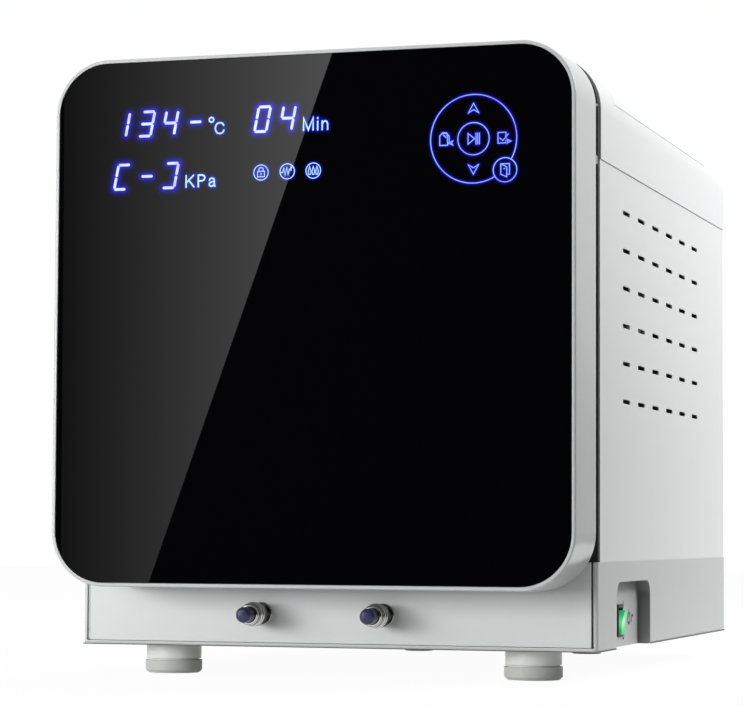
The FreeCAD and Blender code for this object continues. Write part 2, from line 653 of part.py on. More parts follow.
# Dark frame behind the door, open round the mouth of the vessel
def make_front_frame():
    body = new_body("front_frame")
    high = "(cabinet_height - panel_inset)"
    pad(body, "Y", FRAME_FRONT, HOUSING_FRONT,
        rounded(f"-{PANEL}", PANEL, "lower_seam", high, "shoulder_radius - panel_inset", False))
    pocket(body, "Y", FRAME_BACK, f"{HOUSING_FRONT} + open_margin",
           rounded(f"-{PANEL} + frame_rim", f"{PANEL} - frame_rim", "lower_seam + frame_rim",
                   f"{high} - frame_rim", "shoulder_radius - panel_inset - frame_rim", False))
    before, behind = f"{FRAME_FRONT} - open_margin", f"{FRAME_BACK} + open_margin"
    pocket(body, "Y", before, behind, disc("0", "chamber_axis", "flange_radius + flange_hole_gap"))
    for way in ("+", "-"):
        lock_z = f"(chamber_axis {way} lock_offset)"
        pocket(body, "Y", before, behind,
               rectangle("striker_x - lock_slot_side", "striker_x + striker_thickness + lock_slot_side / 2",
                         f"{lock_z} - striker_half - lock_slot_end", f"{lock_z} + striker_half + lock_slot_end"))
        hinge_z = f"(chamber_axis {way} hinge_offset)"
        pocket(body, "Y", before, behind,
               rectangle(f"{HINGE_X} - hinge_arm_half - panel_inset", f"{HINGE_X} + hinge_arm_half + panel_inset",
                         f"{hinge_z} - knuckle_half - panel_inset", f"{hinge_z} + knuckle_half + panel_inset"))
    keep("front_frame", body)


# Folded side panel with six rows of vent slots
def make_side_panel(name, way):
    body = new_body(name)
    outside, inside = (f"({way}{PANEL})", f"({way}({PANEL} - sheet))")
    low_x, high_x = (inside, outside) if way == "" else (outside, inside)
    low = "(lower_seam + seat_gap)"
    high = "(upper_seam - seat_gap)"
    pad(body, "X", low_x, high_x, rectangle(HOUSING_FRONT, REAR, low, high))
    folded = f"({way}({PANEL} - fold))"
    ends = (outside, folded) if way == "-" else (folded, outside)
    narrow = f"({way}({PANEL} - front_fold))"
    front_ends = (outside, narrow) if way == "-" else (narrow, outside)
    pad(body, "Y", f"{REAR} - sheet", REAR, rectangle(*ends, low, high))
    pad(body, "Y", HOUSING_FRONT, f"{HOUSING_FRONT} + sheet", rectangle(*front_ends, low, high))
    column = [pill(f"({FRONT} + slot_first)", f"(slot_top - {row} * slot_row_pitch)", "slot_length", "slot_height")
              for row in range(int(number("slot_count")))]
    slots = pocket(body, "X", f"{low_x} - open_margin", f"{high_x} + open_margin", *column)
    repeat(body, slots, "Y", "slot_pitch", "slot_count")
    keep(name, body)


# Top cover and tank lid: domes of one form, set inside each other by their walls
def make_dome(name, inset, front, rear, low):
    arch = new_body(f"{name}_arch")
    half, high = f"({SIDE} - {inset})", f"(cabinet_height - {inset})"
    pad(arch, "Y", front, rear, rounded(f"-{half}", half, low, high, f"shoulder_radius - {inset}", False))
    profile = new_body(f"{name}_profile")
    start = f"({front} - shoulder_radius * 2)"
    pad(profile, "X", f"-{SIDE}", SIDE, rounded(start, rear, low, high, f"shoulder_radius - {inset}", False))
    return common(name, arch, profile)


def make_top_cover():
    low = "upper_seam"
    below = "(upper_seam - open_margin)"
    outer = make_dome("cover_outer", "0", HOUSING_FRONT, REAR, low)
    inner = make_dome("cover_inner", "cover_wall", f"{HOUSING_FRONT} - open_margin", f"{REAR} - cover_wall", below)
    shell = less("cover_shell", outer, inner)
    wide = f"{SIDE} + open_margin"
    zone = block("lid_zone", f"-{wide}", wide, f"{LID_FRONT} - lid_gap", f"{LID_REAR} + lid_gap",
                 "lid_line - lid_gap", "cabinet_height + open_margin")
    ledge_outer = make_dome("ledge_outer", "cover_wall", f"{LID_FRONT} - ledge_overlap",
                            f"{REAR} - cover_wall", "lid_line - ledge_overlap * 1.5")
    ledge_inner = make_dome("ledge_inner", "(cover_wall + ledge_wall)", f"{LID_FRONT} - ledge_overlap - open_margin",
                            f"{REAR} - cover_wall - ledge_wall", "lid_line - ledge_overlap * 1.5 - open_margin")
    ledge = less("ledge", ledge_outer, ledge_inner,
                 block("behind_ledge", f"-{wide}", wide, f"{LID_REAR} + ledge_overlap", REAR,
                       "lower_seam", "cabinet_height + open_margin"),
                 block("tank_mouth", "-tank_half_width - tank_wall", "tank_half_width + tank_wall",
                       f"{TANK_FRONT} - tank_wall", f"{TANK_REAR} + tank_wall",
                       "lid_line", "cabinet_height + open_margin"))
    keep("top_cover", fused("top_cover", less("cover_frame", shell, zone), ledge))


def make_tank_lid():
    low = "lid_line"
    outer = make_dome("lid_outer", "0", HOUSING_FRONT, REAR, low)
    inner = make_dome("lid_inner", "lid_wall", f"{HOUSING_FRONT} - open_margin", f"{REAR} - lid_wall",
                      "lid_line - open_margin")
    wide = f"{SIDE} + open_margin"
    zone = block("lid_span", f"-{wide}", wide, LID_FRONT, LID_REAR, low, "cabinet_height + open_margin")
    keep("tank_lid", common("tank_lid", less("lid_shell", outer, inner), zone))


# Rear panel with the fan grille and the openings for inlet, filter and safety valve
def make_rear_panel():
    body = new_body("rear_panel")
    half = f"({SIDE} - cover_wall - seat_gap)"
    pad(body, "Y", f"{REAR_PANEL} - sheet", REAR_PANEL, rectangle(f"-{half}", half, FLOOR, "upper_seam + fold"))
    near, far = f"{REAR_PANEL} - sheet - open_margin", f"{REAR_PANEL} + open_margin"
    first = pocket(body, "Y", near, far,
                   pill("fan_x", "(fan_z - (grille_count - 1) / 2 * grille_pitch)", "fan_bore * 1.7", "grille_slot"))
    repeat(body, first, "Z", "grille_pitch", "grille_count")
    pocket(body, "Y", near, far,
           rectangle("inlet_x - inlet_width / 2 - seat_gap", "inlet_x + inlet_width / 2 + seat_gap",
                     "inlet_z - inlet_height / 2 - seat_gap", "inlet_z + inlet_height / 2 + seat_gap"))
    pocket(body, "Y", near, far, disc("safety_x", "safety_z", "safety_hex + seat_gap"))
    pocket(body, "Y", near, far, disc("filter_x", "filter_z", "filter_radius / 2 + seat_gap"))
    keep("rear_panel", body)


# Feet: a pale upper part on a rubber pad, with a groove between them
def make_feet():
    front, rear = ("foot_radius", "foot_pad_radius"), ("rear_foot_radius", "rear_pad_radius")
    places = (("foot_front_left", "-foot_x", f"{FRONT} + foot_setback", front),
              ("foot_front_right", "foot_x", f"{FRONT} + foot_setback", front),
              ("foot_rear_left", "-rear_foot_x", f"{REAR} - rear_foot_inset", rear),
              ("foot_rear_right", "rear_foot_x", f"{REAR} - rear_foot_inset", rear))
    groove_top = "(foot_pad_height + foot_neck)"
    pads = []
    for name, x, y, (radius, pad_radius) in places:
        neck = f"({radius} - foot_neck_sink)"
        foot = turned(name, [("0", "foot_pad_height"), (neck, "foot_pad_height"), (neck, groove_top),
                             (radius, groove_top), (radius, "foot_height"), ("0", "foot_height")])
        keep(name, stand(foot, x, y, "0"))
        rubber = turned(f"{name}_pad", [("0", "0"), (f"{pad_radius} - foot_pad_round", "0"),
                                        (pad_radius, "foot_pad_round"),
                                        (pad_radius, "foot_pad_height"), ("0", "foot_pad_height")])
        pads.append(stand(rubber, x, y, "0"))
    keep("foot_pads", group("foot_pads", *pads))


# Pressure vessel: mouth flange, barrel and rear head in one welded piece
def make_vessel():
    length = "(chamber_depth + head_thickness)"
    body = turned("chamber_vessel", [
        ("0", "chamber_depth"), ("chamber_radius - head_round", "chamber_depth"),
        ("chamber_radius", "chamber_depth - head_round"), ("chamber_radius", "0"), ("flange_radius", "0"),
        ("flange_radius", "flange_thickness"), (VESSEL_OUTER, "flange_thickness"),
        (VESSEL_OUTER, "chamber_depth - head_round"), (f"{VESSEL_OUTER} - head_round", length), ("0", length)])
    keep("chamber_vessel", stand(body, "0", FLANGE_FRONT, "chamber_axis", "Y"))


def tube(name, inner, outer, start, length):
    body = turned(name, [(inner, start), (outer, start), (outer, f"{start} + {length}"), (inner, f"{start} + {length}")])
    return stand(body, "0", FLANGE_FRONT, "chamber_axis", "Y")


def make_vessel_coat():
    keep("heater_band", tube("heater_band", f"{VESSEL_OUTER} + seat_gap", HEATER_OUTER, "heater_start", "heater_length"))
    start = "(flange_thickness + seat_gap)"
    keep("insulation_jacket", tube("insulation_jacket", JACKET_INNER, JACKET_OUTER, start, "jacket_length"))
    straps = []
    for turn in range(3):
        place = f"(jacket_length / 2 + ({turn} - 1) * strap_pitch - strap_width / 2)"
        straps.append(tube(f"strap_{turn}", f"{JACKET_OUTER} + seat_gap",
                           f"{JACKET_OUTER} + seat_gap + strap_thickness", place, "strap_width"))
    keep("jacket_straps", group("jacket_straps", *straps))
    for name, place in (("cradle_front", "cradle_first"), ("cradle_rear", "cradle_second")):
        body = new_body(name)
        near = f"({FLANGE_FRONT} + {place})"
        pad(body, "Y", near, f"{near} + cradle_thickness",
            rectangle("-cradle_half_width", "cradle_half_width", FLOOR, "chamber_axis - cradle_half_width / 2"))
        pad(body, "Y", near, f"{near} + fold",
            rectangle("-cradle_half_width", "cradle_half_width", FLOOR, f"{FLOOR} + cradle_thickness"))
        pocket(body, "Y", f"{near} - open_margin", f"{near} + fold + open_margin",
               disc("0", "chamber_axis", f"{JACKET_OUTER} + seat_gap"))
        pocket(body, "Y", f"{near} - open_margin", f"{near} + cradle_thickness + open_margin",
               rounded("generator_x - generator_radius - fold", "generator_x + generator_radius + fold",
                       f"{FLOOR} + cradle_thickness", "generator_z + generator_radius + cradle_thickness",
                       "generator_radius / 2"))
        keep(name, body)


# Tray rack and three trays inside the vessel
def make_rack():
    body = new_body("tray_rack")
    low, high = f"(chamber_axis - {RACK_HALF_HEIGHT})", f"(chamber_axis + {RACK_HALF_HEIGHT})"
    back = f"({RACK_FRONT} + rack_length)"
    half = "rack_half_width"
    pad(body, "Y", back, f"{back} + rack_sheet", rectangle(f"-{half}", half, low, high))
    for way in ("-", ""):
        edges = (f"{way}({half} - rack_sheet)", f"{way}{half}")
        low_x, high_x = edges if way == "" else edges[::-1]
        pad(body, "X", low_x, high_x, rectangle(RACK_FRONT, f"{back} + rack_sheet", low, high))
        runner = (f"{way}({half} - rack_sheet - rack_runner)", f"{way}({half} - rack_sheet / 2)")
        low_x, high_x = runner if way == "" else runner[::-1]
        shelves = [rectangle(RACK_FRONT, f"{back} + rack_sheet", f"{level} - rack_sheet", level)
                   for level in (tray_level(turn) for turn in range(3))]
        pad(body, "X", low_x, high_x, *shelves)
    pocket(body, "Y", f"{back} - open_margin", f"{back} + rack_sheet + open_margin",
           rounded("-rack_half_width / 2", "rack_half_width / 2", "chamber_axis - rack_level",
                   "chamber_axis + rack_level", "rack_runner"))
    keep("tray_rack", body)


def tray_level(turn):
    """Height of the top of a runner: the lowest is 0."""
    return f"(chamber_axis + ({turn} - 1.5) * rack_level + rack_sheet)"


def make_trays():
    for turn, name in enumerate(("tray_lower", "tray_middle", "tray_upper")):
        body = new_body(name)
        half = "(rack_half_width - rack_sheet - tray_gap)"
        front, rear = f"({RACK_FRONT} + tray_gap)", f"({RACK_FRONT} + tray_gap + tray_length)"
        low = tray_level(turn)
        pad(body, "Z", low, f"{low} + tray_depth", rounded(f"-{half}", half, front, rear, "rack_runner"))
        pocket(body, "Z", f"{low} + tray_sheet", f"{low} + tray_depth + open_margin",
               rounded(f"-{half} + tray_sheet", f"{half} - tray_sheet", f"{front} + tray_sheet",
                       f"{rear} - tray_sheet", "rack_runner - tray_sheet"))
        row = [pill("0", f"({front} + tray_hole_length / 2 + {step} * tray_length / 9)", "tray_hole_length",
                    "tray_hole_width") for step in range(8)]
        pocket(body, "Z", f"{low} - open_margin", f"{low} + tray_sheet + open_margin / 2", *row)
        keep(name, body)


# Water tank with two chambers, its shelf, and the float stems and floats
def make_tank():
    shelf = new_body("tank_shelf")
    half = f"({SIDE} - cover_wall - seat_gap)"
    front, rear = f"({TANK_FRONT} - fold)", f"({TANK_REAR} + fold)"
    pad(shelf, "Z", "shelf_height", "shelf_height + sheet", rectangle(f"-{half}", half, front, rear))
    for near, far in ((f"-{half}", f"-{half} + sheet"), (f"{half} - sheet", half)):
        pad(shelf, "X", near, far, rectangle(front, rear, "shelf_height - fold", "shelf_height + sheet"))
    keep("tank_shelf", shelf)
    body = new_body("water_tank")
    pad(body, "Z", TANK_LOW, "tank_top", rounded("-tank_half_width", "tank_half_width", TANK_FRONT, TANK_REAR,
                                                 "tank_corner"))
    spans = (("-tank_half_width + tank_wall", "tank_divider - tank_wall / 2"),
             ("tank_divider + tank_wall / 2", "tank_half_width - tank_wall"))
    for left, right in spans:
        pocket(body, "Z", f"{TANK_LOW} + tank_wall", "tank_top + open_margin",
               rounded(left, right, f"{TANK_FRONT} + tank_wall", f"{TANK_REAR} - tank_wall",
                       "tank_corner - tank_wall"))
    keep("water_tank", body)


def make_floats():
    bottom = f"({TANK_LOW} + tank_wall)"
    y = f"({TANK_REAR} - tank_wall - float_inset)"
    stems = []
    for name, x in (("clean_float", "tank_half_width - tank_wall - float_inset"),
                    ("used_float", "-tank_half_width + tank_wall + float_inset")):
        top = "(stem_cap_height + stem_height)"
        stem = turned(f"{name}_stem", [
            ("0", "0"), ("stem_cap", "0"), ("stem_cap", "stem_cap_height"), ("stem_radius", "stem_cap_height"),
            ("stem_radius", top), ("stem_cap", top), ("stem_cap", f"{top} + stem_cap_height"),
            ("0", f"{top} + stem_cap_height")])
        stems.append(stand(stem, x, y, bottom))
        inner = "(stem_radius + float_clearance)"
        ring = turned(name, [(inner, "0"), ("float_radius", "0"), ("float_radius", "float_height"),
                             (inner, "float_height")])
        keep(name, stand(ring, x, y, f"{bottom} + stem_cap_height + seat_gap"))
    keep("level_stems", group("level_stems", *stems))


# Door: drafted moulded shell, glass, touch board and inner cover
def make_door_shell():
    body = new_body("door_shell")
    half, low, high = f"({SIDE} - door_draft)", "(door_low + door_draft)", "(door_top - door_draft)"
    form = pad(body, "Y", FRONT, DOOR_BACK, rounded(f"-{half}", half, low, high, "door_corner"))
    bind(form, "TaperAngle", "atan(door_draft / door_depth)")
    face = number(FRONT)
    round_edges(body, "lip_round", lambda edge: edge.BoundBox.YMax < face + 0.01)
    pocket(body, "Y", f"{FRONT} - open_margin", f"{GLASS_BACK} + glass_gap",
           rounded(f"-{GLASS_HALF} - glass_gap", f"{GLASS_HALF} + glass_gap", f"{GLASS_LOW} - glass_gap",
                   f"{GLASS_HIGH} + glass_gap", "door_corner - door_lip + glass_gap"))
    pocket(body, "Y", GLASS_BACK, f"{LEDGE_BACK} + open_margin",
           rounded(f"-{GLASS_HALF} + glass_ledge", f"{GLASS_HALF} - glass_ledge", f"{GLASS_LOW} + glass_ledge",
                   f"{GLASS_HIGH} - glass_ledge", "door_corner - door_lip - glass_ledge"))
    pocket(body, "Y", LEDGE_BACK, f"{DOOR_BACK} + open_margin",
           rounded(f"-{half} + door_wall", f"{half} - door_wall", f"{low} + door_wall", f"{high} - door_wall",
                   "door_corner - door_wall"))
    boss_x = f"({half} - door_wall - boss_radius + open_margin)"
    bosses = [disc(f"({side}{boss_x})", f"(chamber_axis {way} (carrier_leaf_half - boss_inset))", "boss_radius")
              for side in ("-", "") for way in ("+", "-")]
    pad(body, "Y", f"{LEDGE_BACK} - door_wall / 2", CARRIER_FRONT, *bosses)
    for way in ("+", "-"):
        z = f"(chamber_axis {way} hinge_offset)"
        pocket(body, "X", f"-{SIDE} - open_margin", f"{HINGE_X} + notch_width",
               rectangle(f"{HINGE_Y} - notch_depth", f"{DOOR_BACK} + open_margin", f"{z} - notch_half",
                         f"{z} + notch_half"))
    keep("door_shell", body)


def make_door_glass():
    body = new_body("door_glass")
    pad(body, "Y", f"{FRONT} + glass_sink", GLASS_BACK,
        rounded(f"-{GLASS_HALF}", GLASS_HALF, GLASS_LOW, GLASS_HIGH, "door_corner - door_lip"))
    keep("door_glass", body)


def make_display_board():
    body = new_body("display_board")
    face = f"({GLASS_BACK} + board_gap)"
    back = f"({face} + board_thickness)"
    right = "(ring_x + ring_radius + board_gap * 8)"
    pad(body, "Y", face, back, rectangle("-figures_left", right, "figures_low", "figures_high"))
    pad(body, "Y", back, f"{back} + carrier_thickness",
        rectangle("-figures_left + fold", "figures_right", "figures_low + fold", "figures_high - fold"),
        disc("ring_x", "ring_z", "ring_radius * 0.8"))
    pad(body, "Y", GLASS_BACK, f"{face} + board_gap / 2",
        rectangle("-figures_left", "figures_right", "figures_low", "figures_high"),
        disc("ring_x", "ring_z", "ring_radius"))
    keep("display_board", body)


def make_door_cover():
    body = new_body("door_cover")
    half = f"({SIDE} - door_draft - door_wall - glass_gap)"
    low, high = "(door_low + door_draft + door_wall + glass_gap)", "(door_top - door_draft - door_wall - glass_gap)"
    face = f"({DOOR_BACK} - cover_plate)"
    pad(body, "Y", face, DOOR_BACK, rounded(f"-{half}", half, low, high, "door_corner - door_wall - glass_gap"))
    before, behind = f"{face} - open_margin", f"{DOOR_BACK} + open_margin"
    pocket(body, "Y", before, behind, disc("0", "chamber_axis", "plate_radius + seat_gap"))
    for way in ("+", "-"):
        z = f"(chamber_axis {way} hinge_offset)"
        pocket(body, "Y", before, behind,
               rectangle(f"-{SIDE}", f"{HINGE_X} + notch_width", f"{z} - notch_half", f"{z} + notch_half"))
        z = f"(chamber_axis {way} lock_offset)"
        pocket(body, "Y", before, behind,
               rectangle("striker_x - seat_gap", "striker_x + striker_thickness + seat_gap",
                         f"{z} - striker_half - seat_gap", f"{z} + striker_half + seat_gap"))
    keep("door_cover", body)


# Pressure plate with its seal, and the steel carrier that swings it
def make_pressure_plate():
    depth = "plate_thickness"
    body = turned("pressure_plate", [
        ("0", "0"), ("plate_radius - plate_dish", "0"), ("plate_radius", "plate_dish"), ("plate_radius", depth),
        ("seal_outer", depth), ("seal_outer", f"{depth} - seal_groove"), ("seal_inner", f"{depth} - seal_groove"),
        ("seal_inner", depth), ("seal_inner - plate_dish", depth),
        ("seal_inner - plate_dish * 3", f"{depth} - plate_dish"), ("0", f"{depth} - plate_dish")])
    keep("pressure_plate", stand(body, "0", PLATE_FRONT, "chamber_axis", "Y"))
    start = "(plate_thickness - seal_groove)"
    tip = "(plate_thickness + plate_gap - seat_gap)"
    middle = "((seal_inner + seal_outer) / 2)"
    seal = turned("door_seal", [
        ("seal_inner + seat_gap", start), ("seal_outer - seat_gap", start), ("seal_outer - seat_gap", depth),
        (f"{middle} + plate_gap / 2", tip), (f"{middle} - plate_gap / 2", tip), ("seal_inner + seat_gap", depth)])
    keep("door_seal", stand(seal, "0", PLATE_FRONT, "chamber_axis", "Y"))


def make_carrier():
    body = new_body("door_carrier")
    low, high = "(chamber_axis - carrier_leaf_half)", "(chamber_axis + carrier_leaf_half)"
    left = f"({HINGE_X} - hinge_arm_half)"
    right = f"(-{HINGE_X} + hinge_arm_half)"
    middle_low, middle_high = "(chamber_axis - carrier_arm_half)", "(chamber_axis + carrier_arm_half)"
    inner_left, inner_right = f"({left} + carrier_left_width)", f"({right} - carrier_right_width)"
    pad(body, "Y", CARRIER_FRONT, CARRIER_BACK, polygon(
        (left, low), (inner_left, low), (inner_left, middle_low), (inner_right, middle_low), (inner_right, low),
        (right, low), (right, high), (inner_right, high), (inner_right, middle_high), (inner_left, middle_high),
        (inner_left, high), (left, high)))
    pad(body, "Y", CARRIER_BACK, PLATE_FRONT, disc("0", "chamber_axis", "plate_boss"))
    for way in ("+", "-"):
        z = f"(chamber_axis {way} hinge_offset)"
        for side in ("+", "-"):
            near, far = f"knuckle_half + hinge_gap", "knuckle_half + hinge_gap + lug_height"
            span = (f"{z} + {near}", f"{z} + {far}") if side == "+" else (f"{z} - ({far})", f"{z} - ({near})")
            pad(body, "Z", *span, rectangle(f"{HINGE_X} - hinge_arm_half", f"{HINGE_X} + hinge_arm_half",
                                            CARRIER_FRONT, HINGE_Y))
            pad(body, "Z", *span, disc(HINGE_X, HINGE_Y, "knuckle_radius"))
            pocket(body, "Z", f"{span[0]} - hinge_gap / 2", f"{span[1]} + hinge_gap / 2",
                   disc(HINGE_X, HINGE_Y, "pin_radius + pin_clearance"))
    keep("door_carrier", body)


def make_hinges():
    brackets = []
    pins = []
    for way, mark in (("+", "upper"), ("-", "lower")):
        z = f"(chamber_axis {way} hinge_offset)"
        body = new_body(f"hinge_bracket_{mark}")
        pad(body, "Y", FRAME_BACK, f"{FRAME_BACK} + hinge_foot_thickness",
            rectangle(f"{HINGE_X} - knuckle_radius", f"{HINGE_X} - knuckle_radius + hinge_foot_width",
                      f"{z} - hinge_foot", f"{z} + hinge_foot"))
        low, high = f"{z} - knuckle_half", f"{z} + knuckle_half"
        pad(body, "Z", low, high, rectangle(f"{HINGE_X} - hinge_arm_half", f"{HINGE_X} + hinge_arm_half",
                                            HINGE_Y, f"{FRAME_BACK} + hinge_foot_thickness"))
        pad(body, "Z", low, high, disc(HINGE_X, HINGE_Y, "knuckle_radius"))
        pocket(body, "Z", f"{low} - open_margin", f"{high} + open_margin",
               disc(HINGE_X, HINGE_Y, "pin_radius + pin_clearance"))
        brackets.append(body)
        reach = "(knuckle_half + hinge_gap + lug_height)"
        top = f"({reach} * 2 + seat_gap)"
        pin = turned(f"hinge_pin_{mark}", [("0", "0"), ("pin_radius", "0"), ("pin_radius", top), ("pin_head", top),
                                           ("pin_head", f"{top} + pin_head_height"), ("0", f"{top} + pin_head_height")])
        pins.append(stand(pin, HINGE_X, HINGE_Y, f"{z} - {reach}"))
    keep("hinge_brackets", group("hinge_brackets", *brackets))
    keep("hinge_pins", group("hinge_pins", *pins))


# Lock: strikers on the door, and a bar with two pins that a motor lifts by a screw
def make_lock():
    strikers = []
    tip = f"({FRAME_FRONT} + striker_tip)"
    slot = "(lock_pin_radius + lock_pin_gap)"
    for way, mark in (("+", "upper"), ("-", "lower")):
        z = f"(chamber_axis {way} lock_offset)"
        body = new_body(f"striker_{mark}")
        pad(body, "X", "striker_x", "striker_x + striker_thickness", polygon(
            (CARRIER_BACK, f"{z} - striker_half"), (f"{LOCK_PIN_Y} - {slot}", f"{z} - striker_half"),
            (f"{LOCK_PIN_Y} - {slot}", f"{z} + lock_release"), (f"{LOCK_PIN_Y} + {slot}", f"{z} + lock_release"),
            (f"{LOCK_PIN_Y} + {slot}", f"{z} - striker_half"), (tip, f"{z} - striker_half"),
            (tip, f"{z} + striker_half / 2"), (f"{tip} - striker_half / 2", f"{z} + striker_half"),
            (CARRIER_BACK, f"{z} + striker_half")))
        strikers.append(body)
    keep("lock_strikers", group("lock_strikers", *strikers))
    body = new_body("lock_bar")
    drop = "(striker_half + lock_pin_radius + lock_release)"
    low = f"(chamber_axis - lock_offset - {drop} - lock_bar_end)"
    high = f"(chamber_axis + lock_offset - {drop} + lock_bar_end)"
    bar_back = f"({LOCK_BAR_FRONT} + lock_bar_width)"
    pad(body, "X", "lock_bar_x", "lock_bar_x + lock_bar_thickness", rectangle(LOCK_BAR_FRONT, bar_back, low, high))
    for way in ("+", "-"):
        pad(body, "X", "lock_bar_x - lock_pin_length", "lock_bar_x + lock_bar_thickness / 2",
            disc(LOCK_PIN_Y, f"(chamber_axis {way} lock_offset - {drop})", "lock_pin_radius"))
    nut_low = "(motor_top + nut_rise)"
    pad(body, "Z", nut_low, f"{nut_low} + nut_height",
        rectangle(f"{SCREW_X} - nut_side / 2", f"{SCREW_X} + nut_side / 2", f"{bar_back} - sheet",
                  f"{bar_back} + nut_width"))
    pocket(body, "Z", f"{nut_low} - open_margin", f"{nut_low} + nut_height + open_margin",
           disc(SCREW_X, SCREW_Y, "screw_radius + pin_clearance"))
    keep("lock_bar", body)
    screw = turned("lock_screw", [("0", "0"), ("screw_radius + sheet", "0"), ("screw_radius + sheet", "sheet"),
                                  ("screw_radius", "sheet"), ("screw_radius", "screw_length - sheet"),
                                  ("screw_radius - sheet", "screw_length"), ("0", "screw_length")])
    keep("lock_screw", stand(screw, SCREW_X, SCREW_Y, "motor_top + seat_gap"))
    motor = rod("lock_motor_can", "motor_radius", "motor_length", SCREW_X, SCREW_Y, "motor_top - motor_length")
    lug_low, lug_high = "(motor_top - motor_length + fold)", "(motor_top - fold)"
    inner = f"(striker_x - hinge_foot_thickness)"
    foot = block("lock_motor_foot", inner, "lock_bar_x - sheet", FRAME_BACK, f"{FRAME_BACK} + panel_depth",
                 lug_low, lug_high)
    arm = block("lock_motor_arm", inner, "striker_x", FRAME_BACK, SCREW_Y, lug_low, lug_high)
    strut = block("lock_motor_strut", inner, SCREW_X, f"{SCREW_Y} - panel_depth", f"{SCREW_Y} + panel_depth",
                  lug_low, lug_high)
    keep("lock_motor", fused("lock_motor", motor, foot, arm, strut))


# Drain couplings: hexagon and barrel, sliding sleeve, and dust plug
def make_drains():
    face = f"({BASE_FRONT} + panel_sink)"
    plugs = []
    for mark, x in (("left", "drain_left_x"), ("right", "(drain_left_x + drain_pitch)")):
        body = new_body(f"drain_body_{mark}")
        flats = "(drain_nut_flats / sqrt(3))"
        corner = [(f"{flats} * {round(math.cos(math.radians(60 * turn)), 6)}",
                   f"{flats} * {round(math.sin(math.radians(60 * turn)), 6)}") for turn in range(6)]
        pad(body, "Z", "0", "drain_nut_length", polygon(*corner))
        pad(body, "Z", "-drain_thread_length", "0", disc("0", "0", "drain_thread"))
        end = "(drain_nut_length + drain_barrel_length)"
        pad(body, "Z", "drain_nut_length", end, disc("0", "0", "drain_barrel_radius"))
        pad(body, "Z", f"{end} - collar_length", end, disc("0", "0", "collar_radius"))
        pocket(body, "Z", "-drain_thread_length - open_margin", f"{end} + open_margin", disc("0", "0", "drain_bore"))
        pocket(body, "Z", f"{end} - drain_seat_depth", f"{end} + open_margin", disc("0", "0", "drain_seat"))
        keep(f"drain_body_{mark}", stand(body, x, face, "drain_z", "-Y"))
        inner = "(drain_barrel_radius + sleeve_clearance)"
        step = "(sleeve_length / 7)"
        low = "(sleeve_radius - sleeve_groove)"
        second = "(sleeve_radius - sleeve_step)"
        third = "(sleeve_radius - sleeve_step * 2)"
        profile = [(inner, "0"), (second, "0"), (second, f"{step} * 2"), (low, f"{step} * 2.3"),
                   ("sleeve_radius", f"{step} * 2.6"), ("sleeve_radius", f"{step} * 3.8"), (low, f"{step} * 4.1"),
                   (second, f"{step} * 4.4"), (second, f"{step} * 5.4"), (low, f"{step} * 5.7"),
                   (third, f"{step} * 6"), (third, f"{step} * 6.8"), (low, f"{step} * 7"), (inner, f"{step} * 7")]
        sleeve = turned(f"drain_sleeve_{mark}", profile)
        rest = f"({face} - {end} + collar_length + seat_gap + sleeve_length)"
        keep(f"drain_sleeve_{mark}", stand(sleeve, x, rest, "drain_z", "-Y"))
        stem = "(drain_seat - plug_clearance)"
        plug = turned(f"drain_plug_{mark}", [
            ("0", "-plug_stem"), (stem, "-plug_stem"), (stem, "0"), ("plug_radius", "0"),
            ("plug_radius", "plug_length - sheet"), ("plug_radius - sheet", "plug_length"), ("0", "plug_length")])
        plugs.append(stand(plug, x, f"{face} - {end} - seat_gap", "drain_z", "-Y"))
    keep("drain_plugs", group("drain_plugs", *plugs))


# Power switch in the recess of the base
def make_switch():
    body = new_body("switch_bezel")
    face = f"({RECESS_FLOOR} + bezel_thickness)"
    pad(body, "X", RECESS_FLOOR, face,
        rectangle(f"{SWITCH_Y} - bezel_length / 2", f"{SWITCH_Y} + bezel_length / 2",
                  "switch_z - bezel_height / 2", "switch_z + bezel_height / 2"))
    pad(body, "X", f"{RECESS_FLOOR} - switch_depth", RECESS_FLOOR,
        rectangle(f"{SWITCH_Y} - {WELL_Y} - bezel_wall", f"{SWITCH_Y} + {WELL_Y} + bezel_wall",
                  f"switch_z - {WELL_Z} - bezel_wall", f"switch_z + {WELL_Z} + bezel_wall"))
    pocket(body, "X", f"{RECESS_FLOOR} - switch_depth / 2", f"{face} + open_margin",
           rectangle(f"{SWITCH_Y} - {WELL_Y}", f"{SWITCH_Y} + {WELL_Y}",
                     f"switch_z - {WELL_Z}", f"switch_z + {WELL_Z}"))
    keep("switch_bezel", body)
    rocker = new_body("switch_rocker")
    high, tip = "(rocker_height / 2)", "(rocker_pivot + rocker_proud)"
    foot = f"({high} * 0.82)"
    pad(rocker, "Y", "-rocker_width / 2", "rocker_width / 2", polygon(
        ("0", f"-{foot}"), (tip, f"-{high}"), (f"{tip} - rocker_dish * 0.7", f"-{high} / 2"),
        (f"{tip} - rocker_dish", "0"), (f"{tip} - rocker_dish * 0.7", f"{high} / 2"), (tip, high), ("0", foot)))
    stand(rocker, f"{RECESS_FLOOR} - rocker_pivot", SWITCH_Y, "switch_z")
    rocker.Placement.Rotation = Rotation(Vector(0, 1, 0), number("rocker_throw"))
    keep("switch_rocker", rocker)


